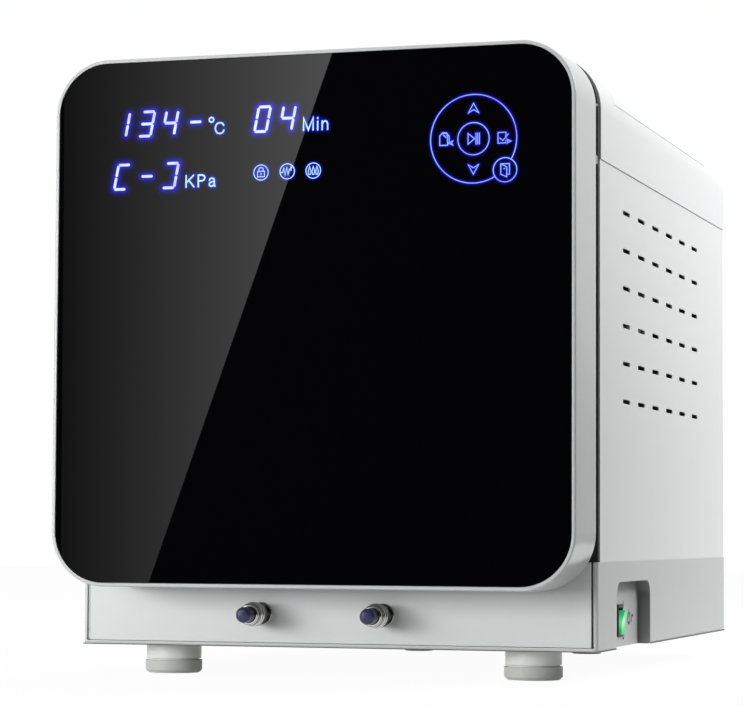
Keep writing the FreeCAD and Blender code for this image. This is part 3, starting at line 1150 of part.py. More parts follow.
# Fan on the rear panel, with its rotor
def make_fan():
    near, far = f"({REAR_PANEL} - sheet - fan_depth)", f"({REAR_PANEL} - sheet)"
    body = new_body("fan_frame")
    half = "fan_size / 2"
    pad(body, "Y", near, far, rounded(f"fan_x - {half}", f"fan_x + {half}", f"fan_z - {half}", f"fan_z + {half}",
                                      "fan_corner"))
    pocket(body, "Y", f"{near} - open_margin", f"{far} + open_margin", disc("fan_x", "fan_z", "fan_bore"))
    strut = "(strut_width / 2)"
    pad(body, "Y", near, f"{near} + strut_depth",
        rectangle("fan_x - fan_bore - open_margin", "fan_x + fan_bore + open_margin", f"fan_z - {strut}",
                  f"fan_z + {strut}"))
    pad(body, "Y", near, f"{near} + strut_depth",
        rectangle(f"fan_x - {strut}", f"fan_x + {strut}", "fan_z - fan_bore - open_margin",
                  "fan_z + fan_bore + open_margin"))
    pad(body, "Y", near, f"{near} + strut_depth", disc("fan_x", "fan_z", "fan_hub"))
    pad(body, "Y", f"{near} + strut_depth", f"{far} - strut_depth", disc("fan_x", "fan_z", "fan_shaft"))
    keep("fan_frame", body)
    hub = turned("fan_hub_part", [
        ("fan_shaft + seat_gap", "0"), ("fan_hub", "0"), ("fan_hub", "fan_depth - strut_depth * 2"),
        ("fan_hub - sheet", "fan_depth - strut_depth - sheet * 2"), ("0", "fan_depth - strut_depth - sheet * 2"),
        ("0", "fan_depth - strut_depth * 2 + seat_gap"), ("fan_shaft + seat_gap", "fan_depth - strut_depth * 2 + seat_gap")])
    blades = []
    depth = number("fan_depth - strut_depth * 2")
    for turn in range(int(number("fan_blades"))):
        blade = Part.makeBox(number("fan_tip - fan_hub + sheet"), number("blade_thickness"), depth * 1.2)
        blade.translate(Vector(number("fan_hub - sheet"), -number("blade_thickness") / 2, -depth * 0.1))
        blade.rotate(Vector(0, 0, depth / 2), Vector(1, 0, 0), number("blade_pitch"))
        room = Part.makeCylinder(number("fan_tip"), depth)
        blade = blade.common(room)
        blade.rotate(Vector(0, 0, 0), Vector(0, 0, 1), 360 * turn / number("fan_blades"))
        item = doc.addObject("Part::Feature", f"fan_blade_{turn}")
        item.Shape = blade
        blades.append(item)
    rotor = fused("fan_rotor", hub, *blades)
    keep("fan_rotor", stand(rotor, "fan_x", f"{near} + strut_depth + seat_gap", "fan_z", "Y"))


# Condenser in front of the fan: tubes through a stack of fins
def make_condenser():
    body = new_body("condenser")
    back = f"({REAR_PANEL} - sheet - fan_depth - seat_gap)"
    front = f"({back} - condenser_depth)"
    half = "(fan_size / 2)"
    low_x = f"(fan_x - (condenser_fin_count - 1) / 2 * condenser_fin_pitch)"
    last_x = f"(fan_x + (condenser_fin_count - 1) / 2 * condenser_fin_pitch + condenser_fin)"
    tubes = [disc(f"({front} + condenser_depth / 2)", f"(fan_z + ({row} - 1) * condenser_tube_pitch)", "condenser_tube")
             for row in range(3)]
    pad(body, "X", low_x, last_x, *tubes)
    fin = pad(body, "X", low_x, f"{low_x} + condenser_fin",
              rectangle(front, back, f"fan_z - {half}", f"fan_z + {half}"))
    repeat(body, fin, "X", "condenser_fin_pitch", "condenser_fin_count")
    keep("condenser", body)


# Mains inlet with its fuse drawer, and the other rear fittings
def make_rear_fittings():
    body = new_body("mains_inlet")
    width, height = "(inlet_width / 2)", "(inlet_height / 2)"
    face = f"({REAR_PANEL} + inlet_flange)"
    pad(body, "Y", REAR_PANEL, face,
        rounded(f"inlet_x - {width} - inlet_margin", f"inlet_x + {width} + inlet_margin",
                f"inlet_z - {height} - inlet_margin", f"inlet_z + {height} + inlet_margin", "inlet_margin"))
    pad(body, "Y", f"{REAR_PANEL} - inlet_depth", REAR_PANEL,
        rectangle(f"inlet_x - {width}", f"inlet_x + {width}", f"inlet_z - {height}", f"inlet_z + {height}"))
    socket_z = "(inlet_z - inlet_height / 5)"
    pocket(body, "Y", f"{face} - socket_depth", f"{face} + open_margin",
           rounded("inlet_x - socket_width / 2", "inlet_x + socket_width / 2", f"{socket_z} - socket_height / 2",
                   f"{socket_z} + socket_height / 2", "socket_corner"))
    blades = []
    for across, up in (("-blade_offset", "-blade_height"), ("blade_offset", "-blade_height"), ("0", "blade_height * 2")):
        x, z = f"(inlet_x + ({across}))", f"({socket_z} + ({up}))"
        blades.append(rectangle(f"{x} - blade_height / 2", f"{x} + blade_height / 2", f"{z} - blade_width / 2",
                                f"{z} + blade_width / 2"))
    pad(body, "Y", f"{face} - socket_depth", f"{face} - socket_depth + blade_length", *blades)
    drawer_z = "(inlet_z + inlet_height / 4)"
    pocket(body, "Y", f"{face} - open_margin", f"{face} + open_margin",
           rectangle("inlet_x - socket_width / 2", "inlet_x + socket_width / 2",
                     f"{drawer_z} - blade_offset", f"{drawer_z} + blade_offset"))
    keep("mains_inlet", body)
    valve = turned("safety_valve", [
        ("0", "-fold * 4"), ("safety_hex * 0.7", "-fold * 4"), ("safety_hex * 0.7", "-fold"),
        ("safety_hex", "-fold"), ("safety_hex", "-panel_inset"), ("safety_hex * 0.8", "-panel_inset"),
        ("safety_hex * 0.8", "panel_inset"), ("safety_hex * 0.4", "rear_inset - seat_gap"),
        ("0", "rear_inset - seat_gap")])
    keep("safety_valve", stand(valve, "safety_x", REAR_PANEL, "safety_z", "Y"))
    neck = "(filter_radius / 2)"
    air = turned("air_filter", [
        ("0", "-filter_length - fold"), (neck, "-filter_length - fold"), ("filter_radius", "-filter_length"),
        ("filter_radius", "-fold"), (neck, "-sheet - seat_gap"), (neck, "rear_inset - seat_gap"),
        ("0", "rear_inset - seat_gap")])
    keep("air_filter", stand(air, "filter_x", REAR_PANEL, "filter_z", "Y"))


# Pumps, steam generator, valves and control board inside the cabinet
def make_works():
    pump_y = f"({REAR} - pump_inset)"
    motor = rod("pump_can", "motor_pump_radius", "motor_pump_length", "motor_pump_x",
                f"{pump_y} - motor_pump_length / 2", "motor_pump_z", "Y")
    foot = block("pump_foot", "motor_pump_x - pump_foot_half", "motor_pump_x + pump_foot_half",
                 f"{pump_y} - motor_pump_length / 3", f"{pump_y} + motor_pump_length / 3", FLOOR,
                 "motor_pump_z - motor_pump_radius / 2")
    keep("vacuum_pump_motor", fused("vacuum_pump_motor", motor, foot))
    front = f"({pump_y} - motor_pump_length / 2)"
    head = new_body("vacuum_pump_head")
    pad(head, "Y", f"{front} - pump_head_depth", front,
        rounded("motor_pump_x - pump_head_half", "motor_pump_x + pump_head_half",
                "motor_pump_z - pump_head_half", "motor_pump_z + pump_head_half * 1.4", "fan_corner"))
    grooves = pocket(head, "Z", "motor_pump_z + pump_head_half", "motor_pump_z + pump_head_half * 1.4 + open_margin",
                     rectangle("motor_pump_x - pump_head_half - open_margin", "motor_pump_x + pump_head_half + open_margin",
                               f"{front} - pump_head_depth + fold - sheet", f"{front} - pump_head_depth + fold + sheet"))
    repeat(head, grooves, "Y", "fold / 1.5", "5")
    keep("vacuum_pump_head", head)
    pump = rod("water_pump_can", "water_pump_radius", "water_pump_length", "-generator_x",
               f"{FRONT} + generator_setback", f"{FLOOR} + water_pump_radius + cradle_thickness", "Y")
    sole = block("water_pump_sole", "-generator_x - water_pump_radius", "-generator_x + water_pump_radius",
                 f"{FRONT} + generator_setback + fold", f"{FRONT} + generator_setback + water_pump_length - fold",
                 FLOOR, f"{FLOOR} + water_pump_radius / 2")
    keep("water_pump", fused("water_pump", pump, sole))
    boiler = rod("generator_shell", "generator_radius", "generator_length", "generator_x",
                 f"{FRONT} + generator_setback", "generator_z", "Y")
    clamps = []
    for turn, place in enumerate(("fold * 2", "generator_length - fold * 2 - generator_clamp")):
        start = f"({FRONT} + generator_setback + {place})"
        clamps.append(block(f"generator_clamp_{turn}", "generator_x - generator_radius", "generator_x + generator_radius",
                            start, f"{start} + generator_clamp", FLOOR, "generator_z"))
    keep("steam_generator", fused("steam_generator", boiler, *clamps))
    base = block("valve_base", f"-{SIDE} + fold * 3", f"-{SIDE} + fold * 3 + valve_block_half * 2",
                 f"{FRONT} + generator_setback", f"{FRONT} + generator_setback + valve_block_length", FLOOR,
                 f"{FLOOR} + valve_block_height")
    coils = [rod(f"valve_coil_{turn}", "coil_radius", "coil_height", f"-{SIDE} + fold * 3 + valve_block_half",
                 f"{FRONT} + generator_setback + coil_pitch / 2 + {turn} * coil_pitch", f"{FLOOR} + valve_block_height")
             for turn in range(int(number("coil_count")))]
    keep("valve_block", fused("valve_block", base, *coils))
    board = new_body("control_board")
    near = f"({FRONT} + control_setback)"
    wall = f"(-{PANEL} + sheet)"
    pad(board, "X", f"{wall} + standoff", f"{wall} + standoff + board_thickness",
        rectangle(near, f"{near} + control_length", "control_low", "control_low + control_height"))
    posts = [disc(f"({near} + {across} * control_length)", f"(control_low + {up} * control_height)", "standoff_radius")
             for across in (0.05, 0.95) for up in (0.08, 0.92)]
    pad(board, "X", wall, f"{wall} + standoff", *posts)
    parts = [rectangle(f"{near} + control_length * {a}", f"{near} + control_length * {b}",
                       f"control_low + control_height * {c}", f"control_low + control_height * {d}")
             for a, b, c, d in ((0.1, 0.32, 0.2, 0.7), (0.4, 0.55, 0.15, 0.45), (0.62, 0.9, 0.2, 0.8))]
    pad(board, "X", f"{wall} + standoff + board_thickness", f"{wall} + standoff * 3", *parts)
    keep("control_board", board)


def check_and_write():
    doc.recompute()
    faults = [item.Name for item in doc.Objects if "Invalid" in item.State or "Error" in item.State]
    for name, item in nodes.items():
        if item.Shape.isNull() or not item.Shape.isValid() or not item.Shape.Solids:
            faults.append(name)
    if faults:
        raise RuntimeError("these objects failed: " + ", ".join(faults))
    os.makedirs("parts", exist_ok=True)
    for name, item in nodes.items():
        item.Shape.exportStep(f"parts/{name}.step")


make_base_pan()
make_lower_front_panel()
make_front_frame()
make_side_panel("side_panel_left", "-")
make_side_panel("side_panel_right", "")
make_top_cover()
make_tank_lid()
make_rear_panel()
make_feet()
make_vessel()
make_vessel_coat()
make_rack()
make_trays()
make_tank()
make_floats()
make_door_shell()
make_door_glass()
make_display_board()
make_door_cover()
make_pressure_plate()
make_carrier()
make_hinges()
make_lock()
make_drains()
make_switch()
make_fan()
make_condenser()
make_rear_fittings()
make_works()
check_and_write()
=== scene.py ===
import math

import bmesh
import bpy
import numpy as np
from bpy.props import FloatProperty, FloatVectorProperty, PointerProperty
from mathutils import Matrix, Vector


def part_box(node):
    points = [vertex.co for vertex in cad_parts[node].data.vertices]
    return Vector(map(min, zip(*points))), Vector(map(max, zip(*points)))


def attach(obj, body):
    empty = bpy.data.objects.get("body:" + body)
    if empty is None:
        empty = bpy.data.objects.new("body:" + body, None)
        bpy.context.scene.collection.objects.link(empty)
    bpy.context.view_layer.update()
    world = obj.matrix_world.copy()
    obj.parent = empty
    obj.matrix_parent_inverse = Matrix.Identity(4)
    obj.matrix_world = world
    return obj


bl_info = {
    "name": "Bench Autoclave Dressing",
    "version": (1, 0, 0),
    "blender": (4, 5, 0),
    "location": "3D View > Sidebar > Autoclave",
    "description": "Finishes, lit display and fittings of a bench autoclave, with its stage",
    "category": "Object",
}

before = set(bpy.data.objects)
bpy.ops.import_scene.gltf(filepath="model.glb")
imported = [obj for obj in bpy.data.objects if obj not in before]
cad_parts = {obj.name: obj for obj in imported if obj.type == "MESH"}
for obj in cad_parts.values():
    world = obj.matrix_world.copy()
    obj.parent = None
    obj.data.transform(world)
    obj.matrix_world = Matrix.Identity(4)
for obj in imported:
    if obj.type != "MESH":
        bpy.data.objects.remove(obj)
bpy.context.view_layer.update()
MM = 0.001
BLACK = (0.0, 0.0, 0.0, 1.0)
WHITE = (1.0, 1.0, 1.0, 1.0)


def middle(name):
    """Middle of a CAD node's box, in metres."""
    low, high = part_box(name)
    return (Vector(low) + Vector(high)) / 2


def number(name, text, value, **limits):
    return FloatProperty(name=name, description=text, default=value, **limits)


def colour(name, text, value):
    return FloatVectorProperty(name=name, description=text, default=value, subtype="COLOR", size=3,
                               min=0, max=1)


def length(name, text, millimetres):
    return number(name, text, millimetres * MM, unit="LENGTH", precision=5)


def tilt(name, text, degrees):
    return number(name, text, math.radians(degrees), unit="ROTATION")


def strength(name, text, watts):
    return number(name, text, watts, min=0, unit="POWER")


class AutoclaveStage(bpy.types.PropertyGroup):
    """Camera, sky, lamps and card."""
    camera_place: FloatVectorProperty(name="Camera", description="Place of the camera", unit="LENGTH",
                                      default=(0.70872, -2.40601, 0.11903), size=3)
    camera_yaw: tilt("Yaw", "Camera turned to the right", -17.388)
    camera_pitch: tilt("Pitch", "Camera turned up", 3.659)
    camera_roll: tilt("Roll", "Camera tipped to the right", 0.289)
    lens: number("Lens", "Focal length on a 36 mm frame", 135.0)
    sky: number("Sky", "Light from all round", 0.43, min=0)
    top_lamp: strength("Top lamp", "Soft lamp above", 14)
    front_lamp: strength("Front lamp", "Soft lamp at the front left", 16)
    fill_lamp: strength("Fill lamp", "Broad low lamp at the front", 37)
    side_lamp: strength("Side lamp", "Soft lamp on the right", 21)
    card_level: number("Card", "Brightness of the grey card in the glass", 2.1, min=0)


class AutoclaveFinishes(bpy.types.PropertyGroup):
    """Colours of the cabinet and its pieces."""
    cover: colour("Cover", "Top cover and lid", (0.86, 0.88, 0.88))
    rim: colour("Door rim", "Moulded rim of the door", (0.60, 0.615, 0.615))
    sheet: colour("Side panels", "Powder coat of the side panels", (0.86, 0.88, 0.875))
    lower_panel: colour("Lower panel", "Powder coat of the lower front panel", (0.73, 0.755, 0.75))
    base: colour("Base", "Powder coat of the base pan", (0.64, 0.655, 0.65))
    frame_dark: colour("Front frame", "Dark frame behind the door", (0.010, 0.011, 0.012))
    glass: colour("Glass", "Print behind the door glass", (0.0015, 0.0015, 0.002))
    rocker: colour("Rocker", "Lit power switch", (0.02, 0.50, 0.14))
    grain: number("Grain", "Depth of the paint's fine grain", 0.05, min=0, max=1)


class AutoclaveDisplay(bpy.types.PropertyGroup):
    """Lit figures, symbols and the touch ring."""
    figure_height: length("Figure height", "Height of a lit figure", 19.8)
    figure_width: length("Figure width", "Width of a lit figure", 10.0)
    slant: number("Slant", "Lean of the figures to the right", 0.19)
    figure_stroke: length("Figure stroke", "Width of the lit bars", 2.2)
    line_stroke: length("Line stroke", "Width of the lines of ring and symbols", 0.68)
    word_stroke: length("Letter stroke", "Width of the strokes of the unit letters", 1.25)
    glow_reach: length("Glow reach", "How far the light spreads in the print", 1.5)
    glow: colour("Glow", "Colour of the spread light", (0.03, 0.02, 1.0))
    figure_core: colour("Figure light", "Colour of the lit bars", (0.50, 0.55, 1.0))
    figure_second: colour("Figure light 2", "The bars' other colour", (0.66, 0.80, 1.0))
    line_core: colour("Line light", "Colour of the lit lines", (0.26, 0.22, 0.95))
    line_second: colour("Line light 2", "The lines' other colour", (0.28, 0.52, 1.0))
    word_second: colour("Letter light 2", "The letters' other colour", (0.50, 0.86, 1.0))
    word_core: colour("Word light", "Colour of letters and status symbols", (0.42, 0.68, 1.0))


class AutoclaveFittings(bpy.types.PropertyGroup):
    """Small fittings on the cabinet."""
    screw_radius: length("Screw", "Radius of the screw heads", 3.2)
    port_radius: length("Port", "Radius of the ports in the vessel", 7)
    strainer_radius: length("Strainer", "Radius of the tank strainers", 15)
    collar_radius: length("Collar", "Radius of the collars of the drain couplings", 8.2)
    bead_size: length("Bead", "Height of the beads that fill the panel seams", 0.5)
    knurl_height: length("Knurl", "Height of the grip ridges of the couplings", 0.6)


# Shader groups

def socket(tree, name, kind, way, value=None):
    item = tree.interface.new_socket(name=name, in_out=way, socket_type=f"NodeSocket{kind}")
    if value is not None:
        item.default_value = value
    return item


def new_group(name, inputs, outputs):
    tree = bpy.data.node_groups.new(name, "ShaderNodeTree")
    for label, kind, value in inputs:
        socket(tree, label, kind, "INPUT", value)
    for label, kind in outputs:
        socket(tree, label, kind, "OUTPUT")
    return tree, tree.nodes.new("NodeGroupInput"), tree.nodes.new("NodeGroupOutput")


def node(tree, kind, values=None, **fields):
    """A node of the tree: values go to its sockets, and a socket of another node is linked."""
    item = tree.nodes.new(f"ShaderNode{kind}")
    for field, value in fields.items():
        setattr(item, field, value)
    for label, value in (values or {}).items():
        target = item.inputs[label]
        if isinstance(value, bpy.types.NodeSocket):
            tree.links.new(value, target)
        else:
            target.default_value = value
    return item


def mixed(tree, factor, first, second, blend="MIX"):
    """A colour mix, with the sockets that belong to colours."""
    item = tree.nodes.new("ShaderNodeMix")
    item.data_type = "RGBA"
    item.blend_type = blend
    for index, value in ((0, factor), (6, first), (7, second)):
        if isinstance(value, bpy.types.NodeSocket):
            tree.links.new(value, item.inputs[index])
        else:
            item.inputs[index].default_value = value
    return item.outputs[2]


def sums(tree, kind, *values, clamp=False):
    item = tree.nodes.new("ShaderNodeMath")
    item.operation = kind
    item.use_clamp = clamp
    for index, value in enumerate(values):
        if isinstance(value, bpy.types.NodeSocket):
            tree.links.new(value, item.inputs[index])
        else:
            item.inputs[index].default_value = value
    return item.outputs[0]


def scaled(tree, value, from_low, from_high, to_low, to_high):
    item = node(tree, "MapRange", {"Value": value, "From Min": from_low, "From Max": from_high,
                                   "To Min": to_low, "To Max": to_high})
    return item.outputs[0]

def noise(tree, place, size, detail=2.0, roughness=0.5):
    values = {"Vector": place, "Scale": size, "Detail": detail, "Roughness": roughness}
    return node(tree, "TexNoise", values).outputs["Fac"]


def swing(tree, value, amount):
    """A noise between nought and one, turned into a swing about nought."""
    return sums(tree, "MULTIPLY", sums(tree, "SUBTRACT", value, 0.5), amount)


def grey(tree, value):
    return node(tree, "CombineColor", {0: value, 1: value, 2: value}).outputs[0]


def place_on_object(tree):
    return node(tree, "TexCoord").outputs["Object"]


def relief(tree, out, edge, height, depth, distance):
    """Softened edges with a fine relief on them."""
    soft = node(tree, "Bevel", {"Radius": edge}, samples=3).outputs["Normal"]
    bump = node(tree, "Bump", {"Height": height, "Strength": depth, "Distance": distance, "Normal": soft})
    tree.links.new(bump.outputs["Normal"], out.inputs["Normal"])


SKIN_INPUTS = [
    ("Colour", "Color", (0.8, 0.8, 0.8, 1)), ("Mottle", "Float", 0.03), ("Roughness", "Float", 0.4),
    ("Spread", "Float", 0.08), ("Grain Size", "Float", 900.0), ("Grain Depth", "Float", 0.05),
    ("Edge", "Float", 0.0006), ("Dust", "Float", 0.03),
]
SKIN_OUTPUTS = [("Colour", "Color"), ("Roughness", "Float"), ("Normal", "Vector")]
DUST_COLOUR = (0.55, 0.53, 0.50, 1)
SKIN_RELIEF = 0.0002


def painted_skin():
    """Paint or moulded plastic: faint mottle, fine grain, softened edges and a little dust on top."""
    tree, given, out = new_group("Painted Skin", SKIN_INPUTS, SKIN_OUTPUTS)
    put = given.outputs
    place = place_on_object(tree)
    cloud = noise(tree, place, 9.0, 4.0)
    speck = noise(tree, place, put["Grain Size"], 3.0)
    rub = noise(tree, place, 42.0, 6.0, 0.65)
    way = node(tree, "NewGeometry").outputs["Normal"]
    facing_up = node(tree, "SeparateXYZ", {"Vector": way}).outputs["Z"]
    lying = sums(tree, "MULTIPLY", sums(tree, "MAXIMUM", facing_up, 0.0), rub)
    settled = sums(tree, "MULTIPLY", lying, put["Dust"])
    tone = sums(tree, "ADD", swing(tree, cloud, put["Mottle"]), 1.0)
    base = mixed(tree, 1.0, put["Colour"], grey(tree, tone), "MULTIPLY")
    tree.links.new(mixed(tree, settled, base, DUST_COLOUR), out.inputs["Colour"])
    rough = sums(tree, "ADD", put["Roughness"], swing(tree, rub, put["Spread"]))
    tree.links.new(sums(tree, "ADD", rough, settled, clamp=True), out.inputs["Roughness"])
    relief(tree, out, put["Edge"], speck, put["Grain Depth"], SKIN_RELIEF)
    return tree


METAL_INPUTS = [
    ("Colour", "Color", (0.6, 0.6, 0.6, 1)), ("Along", "Vector", (1.0, 1.0, 1.0)), ("Streak", "Float", 0.12),
    ("Roughness", "Float", 0.3), ("Spread", "Float", 0.15), ("Depth", "Float", 0.08),
    ("Tarnish", "Float", 0.1), ("Edge", "Float", 0.0004),
]
TARNISH_COLOUR = (0.30, 0.27, 0.23, 1)
METAL_RELIEF = 0.0001


def brushed_metal():
    """Metal with straight brush lines, stretched by the scale along each axis."""
    tree, given, out = new_group("Brushed Metal", METAL_INPUTS, SKIN_OUTPUTS)
    place = place_on_object(tree)
    along = given.outputs["Along"]
    stretched = node(tree, "VectorMath", {0: place, 1: along}, operation="MULTIPLY").outputs[0]
    finish_metal(tree, given.outputs, out, place, noise(tree, stretched, 300.0, 3.0))
    return tree


def turned_metal():
    """Metal turned in a lathe about the vessel's axis: fine rings round that axis."""
    tree, given, out = new_group("Turned Metal", METAL_INPUTS, SKIN_OUTPUTS)
    place = place_on_object(tree)
    axis = middle("chamber_vessel")
    moved = node(tree, "VectorMath", {0: place, 1: (axis.x, 0.0, axis.z)}, operation="SUBTRACT").outputs[0]
    flat = node(tree, "VectorMath", {0: moved, 1: (1.0, 0.0, 1.0)}, operation="MULTIPLY").outputs[0]
    radius = node(tree, "VectorMath", {0: flat}, operation="LENGTH").outputs["Value"]
    depth = node(tree, "SeparateXYZ", {"Vector": place}).outputs["Y"]
    ring = node(tree, "CombineXYZ", {"X": radius, "Y": depth}).outputs[0]
    finish_metal(tree, given.outputs, out, place, noise(tree, ring, 1400.0))
    return tree


def finish_metal(tree, put, out, place, lines):
    """The part that both metal groups share: tone, roughness and relief from the lines."""
    stain = noise(tree, place, 14.0, 5.0, 0.7)
    tone = sums(tree, "ADD", swing(tree, lines, put["Streak"]), 1.0)
    base = mixed(tree, 1.0, put["Colour"], grey(tree, tone), "MULTIPLY")
    worn = sums(tree, "MULTIPLY", scaled(tree, stain, 0.45, 0.8, 0.0, 1.0), put["Tarnish"], clamp=True)
    tree.links.new(mixed(tree, worn, base, TARNISH_COLOUR), out.inputs["Colour"])
    rough = sums(tree, "ADD", put["Roughness"], swing(tree, stain, put["Spread"]), clamp=True)
    tree.links.new(rough, out.inputs["Roughness"])
    relief(tree, out, put["Edge"], lines, put["Depth"], METAL_RELIEF)


GROUPS = {}
MATERIALS = {}


def shader_group(name, maker):
    if name not in GROUPS:
        GROUPS[name] = maker()
    return GROUPS[name]


def coloured(value):
    return (*value, 1.0)

def blank(name):
    """A new material with its node tree and its surface shader."""
    made = bpy.data.materials.new(name)
    made.use_nodes = True
    MATERIALS[name] = made
    return made, made.node_tree, made.node_tree.nodes["Principled BSDF"]


def finish(name, group, values, sockets):
    """A material: the group gives colour, roughness and normal, the sockets are the shader's own."""
    made, tree, surface = blank(name)
    skin = tree.nodes.new("ShaderNodeGroup")
    skin.node_tree = group
    for label, value in values.items():
        skin.inputs[label].default_value = value
    for label, value in sockets.items():
        surface.inputs[label].default_value = value
    for ours, theirs in (("Colour", "Base Color"), ("Roughness", "Roughness"), ("Normal", "Normal")):
        tree.links.new(skin.outputs[ours], surface.inputs[theirs])
    return made


def paint(name, tint, roughness=0.42, mottle=0.03, grain=0.05, grain_size=900.0, edge=0.0006, dust=0.03,
          spread=0.08, **sockets):
    values = {"Colour": coloured(tint), "Roughness": roughness, "Mottle": mottle, "Grain Depth": grain,
              "Grain Size": grain_size, "Edge": edge, "Dust": dust, "Spread": spread}
    given = {label.replace("_", " "): value for label, value in sockets.items()}
    return finish(name, shader_group("skin", painted_skin), values, given)


def metal(name, tint, roughness=0.3, streak=0.12, depth=0.08, tarnish=0.1, along=(1.0, 1.0, 1.0),
          turned=False):
    values = {"Colour": coloured(tint), "Along": along, "Roughness": roughness, "Streak": streak,
              "Depth": depth, "Tarnish": tarnish}
    group = shader_group("turned", turned_metal) if turned else shader_group("brushed", brushed_metal)
    return finish(name, group, values, {"Metallic": 1.0})


def dress(material, *names):
    """Give the CAD nodes this material."""
    for name in names:
        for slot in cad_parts[name].material_slots:
            slot.material = material


def dress_all(maker, rows):
    """Make each row's finish and give it to the row's nodes."""
    for name, tint, nodes, values in rows:
        dress(maker(name, tint, **values), *nodes)


# Mesh helpers

LATHE_STEPS = 48
BEVEL_STEPS = 3
TINY = 1e-9


def piece(name, mesh, material, body, smooth=False):
    """Put a finished bmesh into the scene as a piece that rides on a body."""
    bmesh.ops.recalc_face_normals(mesh, faces=mesh.faces)
    data = bpy.data.meshes.new(name)
    mesh.to_mesh(data)
    mesh.free()
    if smooth:
        data.shade_smooth()
    return placed(name, data, material, body)


def placed(name, data, material, body):
    item = bpy.data.objects.new(name, data)
    bpy.context.collection.objects.link(item)
    data.materials.append(material)
    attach(item, body)
    return item


def lathe(mesh, profile, matrix, closed=True):
    """Turn a profile of radius and height about Z, then move it by the matrix."""
    rings = []
    for radius, height in profile:
        if radius < TINY:
            rings.append([mesh.verts.new(matrix @ Vector((0, 0, height)))])
            continue
        ring = []
        for step in range(LATHE_STEPS):
            angle = 2 * math.pi * step / LATHE_STEPS
            point = Vector((radius * math.cos(angle), radius * math.sin(angle), height))
            ring.append(mesh.verts.new(matrix @ point))
        rings.append(ring)
    pairs = list(zip(rings, rings[1:]))
    if closed and len(rings[0]) > 1 and len(rings[-1]) > 1:
        pairs.append((rings[-1], rings[0]))
    for low, high in pairs:
        for step in range(LATHE_STEPS):
            following = (step + 1) % LATHE_STEPS
            corners = [low[step % len(low)], low[following % len(low)],
                       high[following % len(high)], high[step % len(high)]]
            corners = [c for index, c in enumerate(corners) if c not in corners[:index]]
            if len(corners) > 2:
                mesh.faces.new(corners)


def facing(place, way):
    """A matrix that puts Z along the way at the place."""
    turn = Vector(way).to_track_quat("Z", "Y").to_matrix().to_4x4()
    return Matrix.Translation(Vector(place)) @ turn


def box_mesh(mesh, low, high, bevel=0.0):
    made = bmesh.ops.create_cube(mesh, size=1.0)["verts"]
    low, high = Vector(low), Vector(high)
    for vert in made:
        vert.co = Vector([low[i] + (vert.co[i] + 0.5) * (high[i] - low[i]) for i in range(3)])
    if bevel:
        edges = {edge for vert in made for edge in vert.link_edges}
        bmesh.ops.bevel(mesh, geom=list(edges), offset=bevel, segments=BEVEL_STEPS, affect="EDGES",
                        profile=0.5)


# Flat lit shapes: x and z in millimetres from the middle of the glass's foot, on the glass

CAP_STEPS = 6
SHARPEST_CORNER = 0.35
FIGURE_LIFT = 0.00008
GLOW_LIFT = 0.00005
UNIT_GLOW_LIFT = 0.00003


def glass_level():
    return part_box("door_glass")[0][1]


def in_metres(points):
    return [(x * MM, z * MM) for x, z in points]


def strip(mesh, points, width, level, closed=False):
    """A flat line of even width through the points, facing the front, with round ends when it is open."""
    flat = [Vector(point) for point in points]
    count = len(flat)
    left, right = [], []
    for index, here in enumerate(flat):
        before = flat[index - 1] if index or closed else None
        after = flat[(index + 1) % count] if index < count - 1 or closed else None
        first = (here - before).normalized() if before is not None else (after - here).normalized()
        second = (after - here).normalized() if after is not None else first
        square = Vector((-first.y, first.x))
        across = Vector((-(first.y + second.y), first.x + second.x))
        across = across.normalized() if across.length > TINY else square
        reach = width / 2 / max(SHARPEST_CORNER, across.dot(square))
        left.append(here + across * reach)
        right.append(here - across * reach)
    outline = [[mesh.verts.new((p.x, level, p.y)) for p in side] for side in (left, right)]
    for index in range(count if closed else count - 1):
        following = (index + 1) % count
        mesh.faces.new([outline[0][index], outline[0][following], outline[1][following], outline[1][index]])
    if closed:
        return
    for end, neighbour, first, second in ((flat[0], flat[1], outline[0][0], outline[1][0]),
                                          (flat[-1], flat[-2], outline[0][-1], outline[1][-1])):
        out = (end - neighbour).normalized()
        side = Vector((first.co.x, first.co.z)) - end
        arc = [first]
        for step in range(1, CAP_STEPS):
            angle = math.pi * step / CAP_STEPS
            point = end + side * math.cos(angle) + out * side.length * math.sin(angle)
            arc.append(mesh.verts.new((point.x, level, point.y)))
        mesh.faces.new([*arc, second])


def circle_points(x, z, radius, start=0.0, stop=360.0, steps=96):
    """Points of an arc between two angles in degrees. A full circle leaves out the last, doubled point."""
    last = 0 if stop - start >= 360 else 1
    angles = [math.radians(start + (stop - start) * step / steps) for step in range(steps + last)]
    return [(x + radius * math.cos(angle), z + radius * math.sin(angle)) for angle in angles]


SEGMENTS = {
    "a": ((0.12, 1.0), (0.88, 1.0)), "b": ((1.0, 0.92), (1.0, 0.57)), "c": ((1.0, 0.43), (1.0, 0.08)),
    "d": ((0.12, 0.0), (0.88, 0.0)), "e": ((0.0, 0.43), (0.0, 0.08)), "f": ((0.0, 0.92), (0.0, 0.57)),
    "g": ((0.12, 0.5), (0.88, 0.5)),
}
FIGURES = [
    ("bc", -167.0, 438.3), ("abcdg", -145.4, 438.3), ("bcfg", -125.0, 438.3), ("g", -103.0, 438.3),
    ("abcdef", -45.8, 438.3), ("bcfg", -24.6, 438.3),
    ("adef", -166.6, 395.5), ("g", -144.8, 395.5), ("abcd", -124.4, 395.5),
]
STATUS = [(-39.9, 405.2), (-17.7, 405.4), (4.2, 405.3)]
STATUS_RADIUS = 6.1
RING_AT = (136.2, 425.9)
RING_RADII = (34.9, 12.7)
DOOR_KEY_AT = (161.7, 400.6)
DOOR_KEY_RADIUS = 9.5


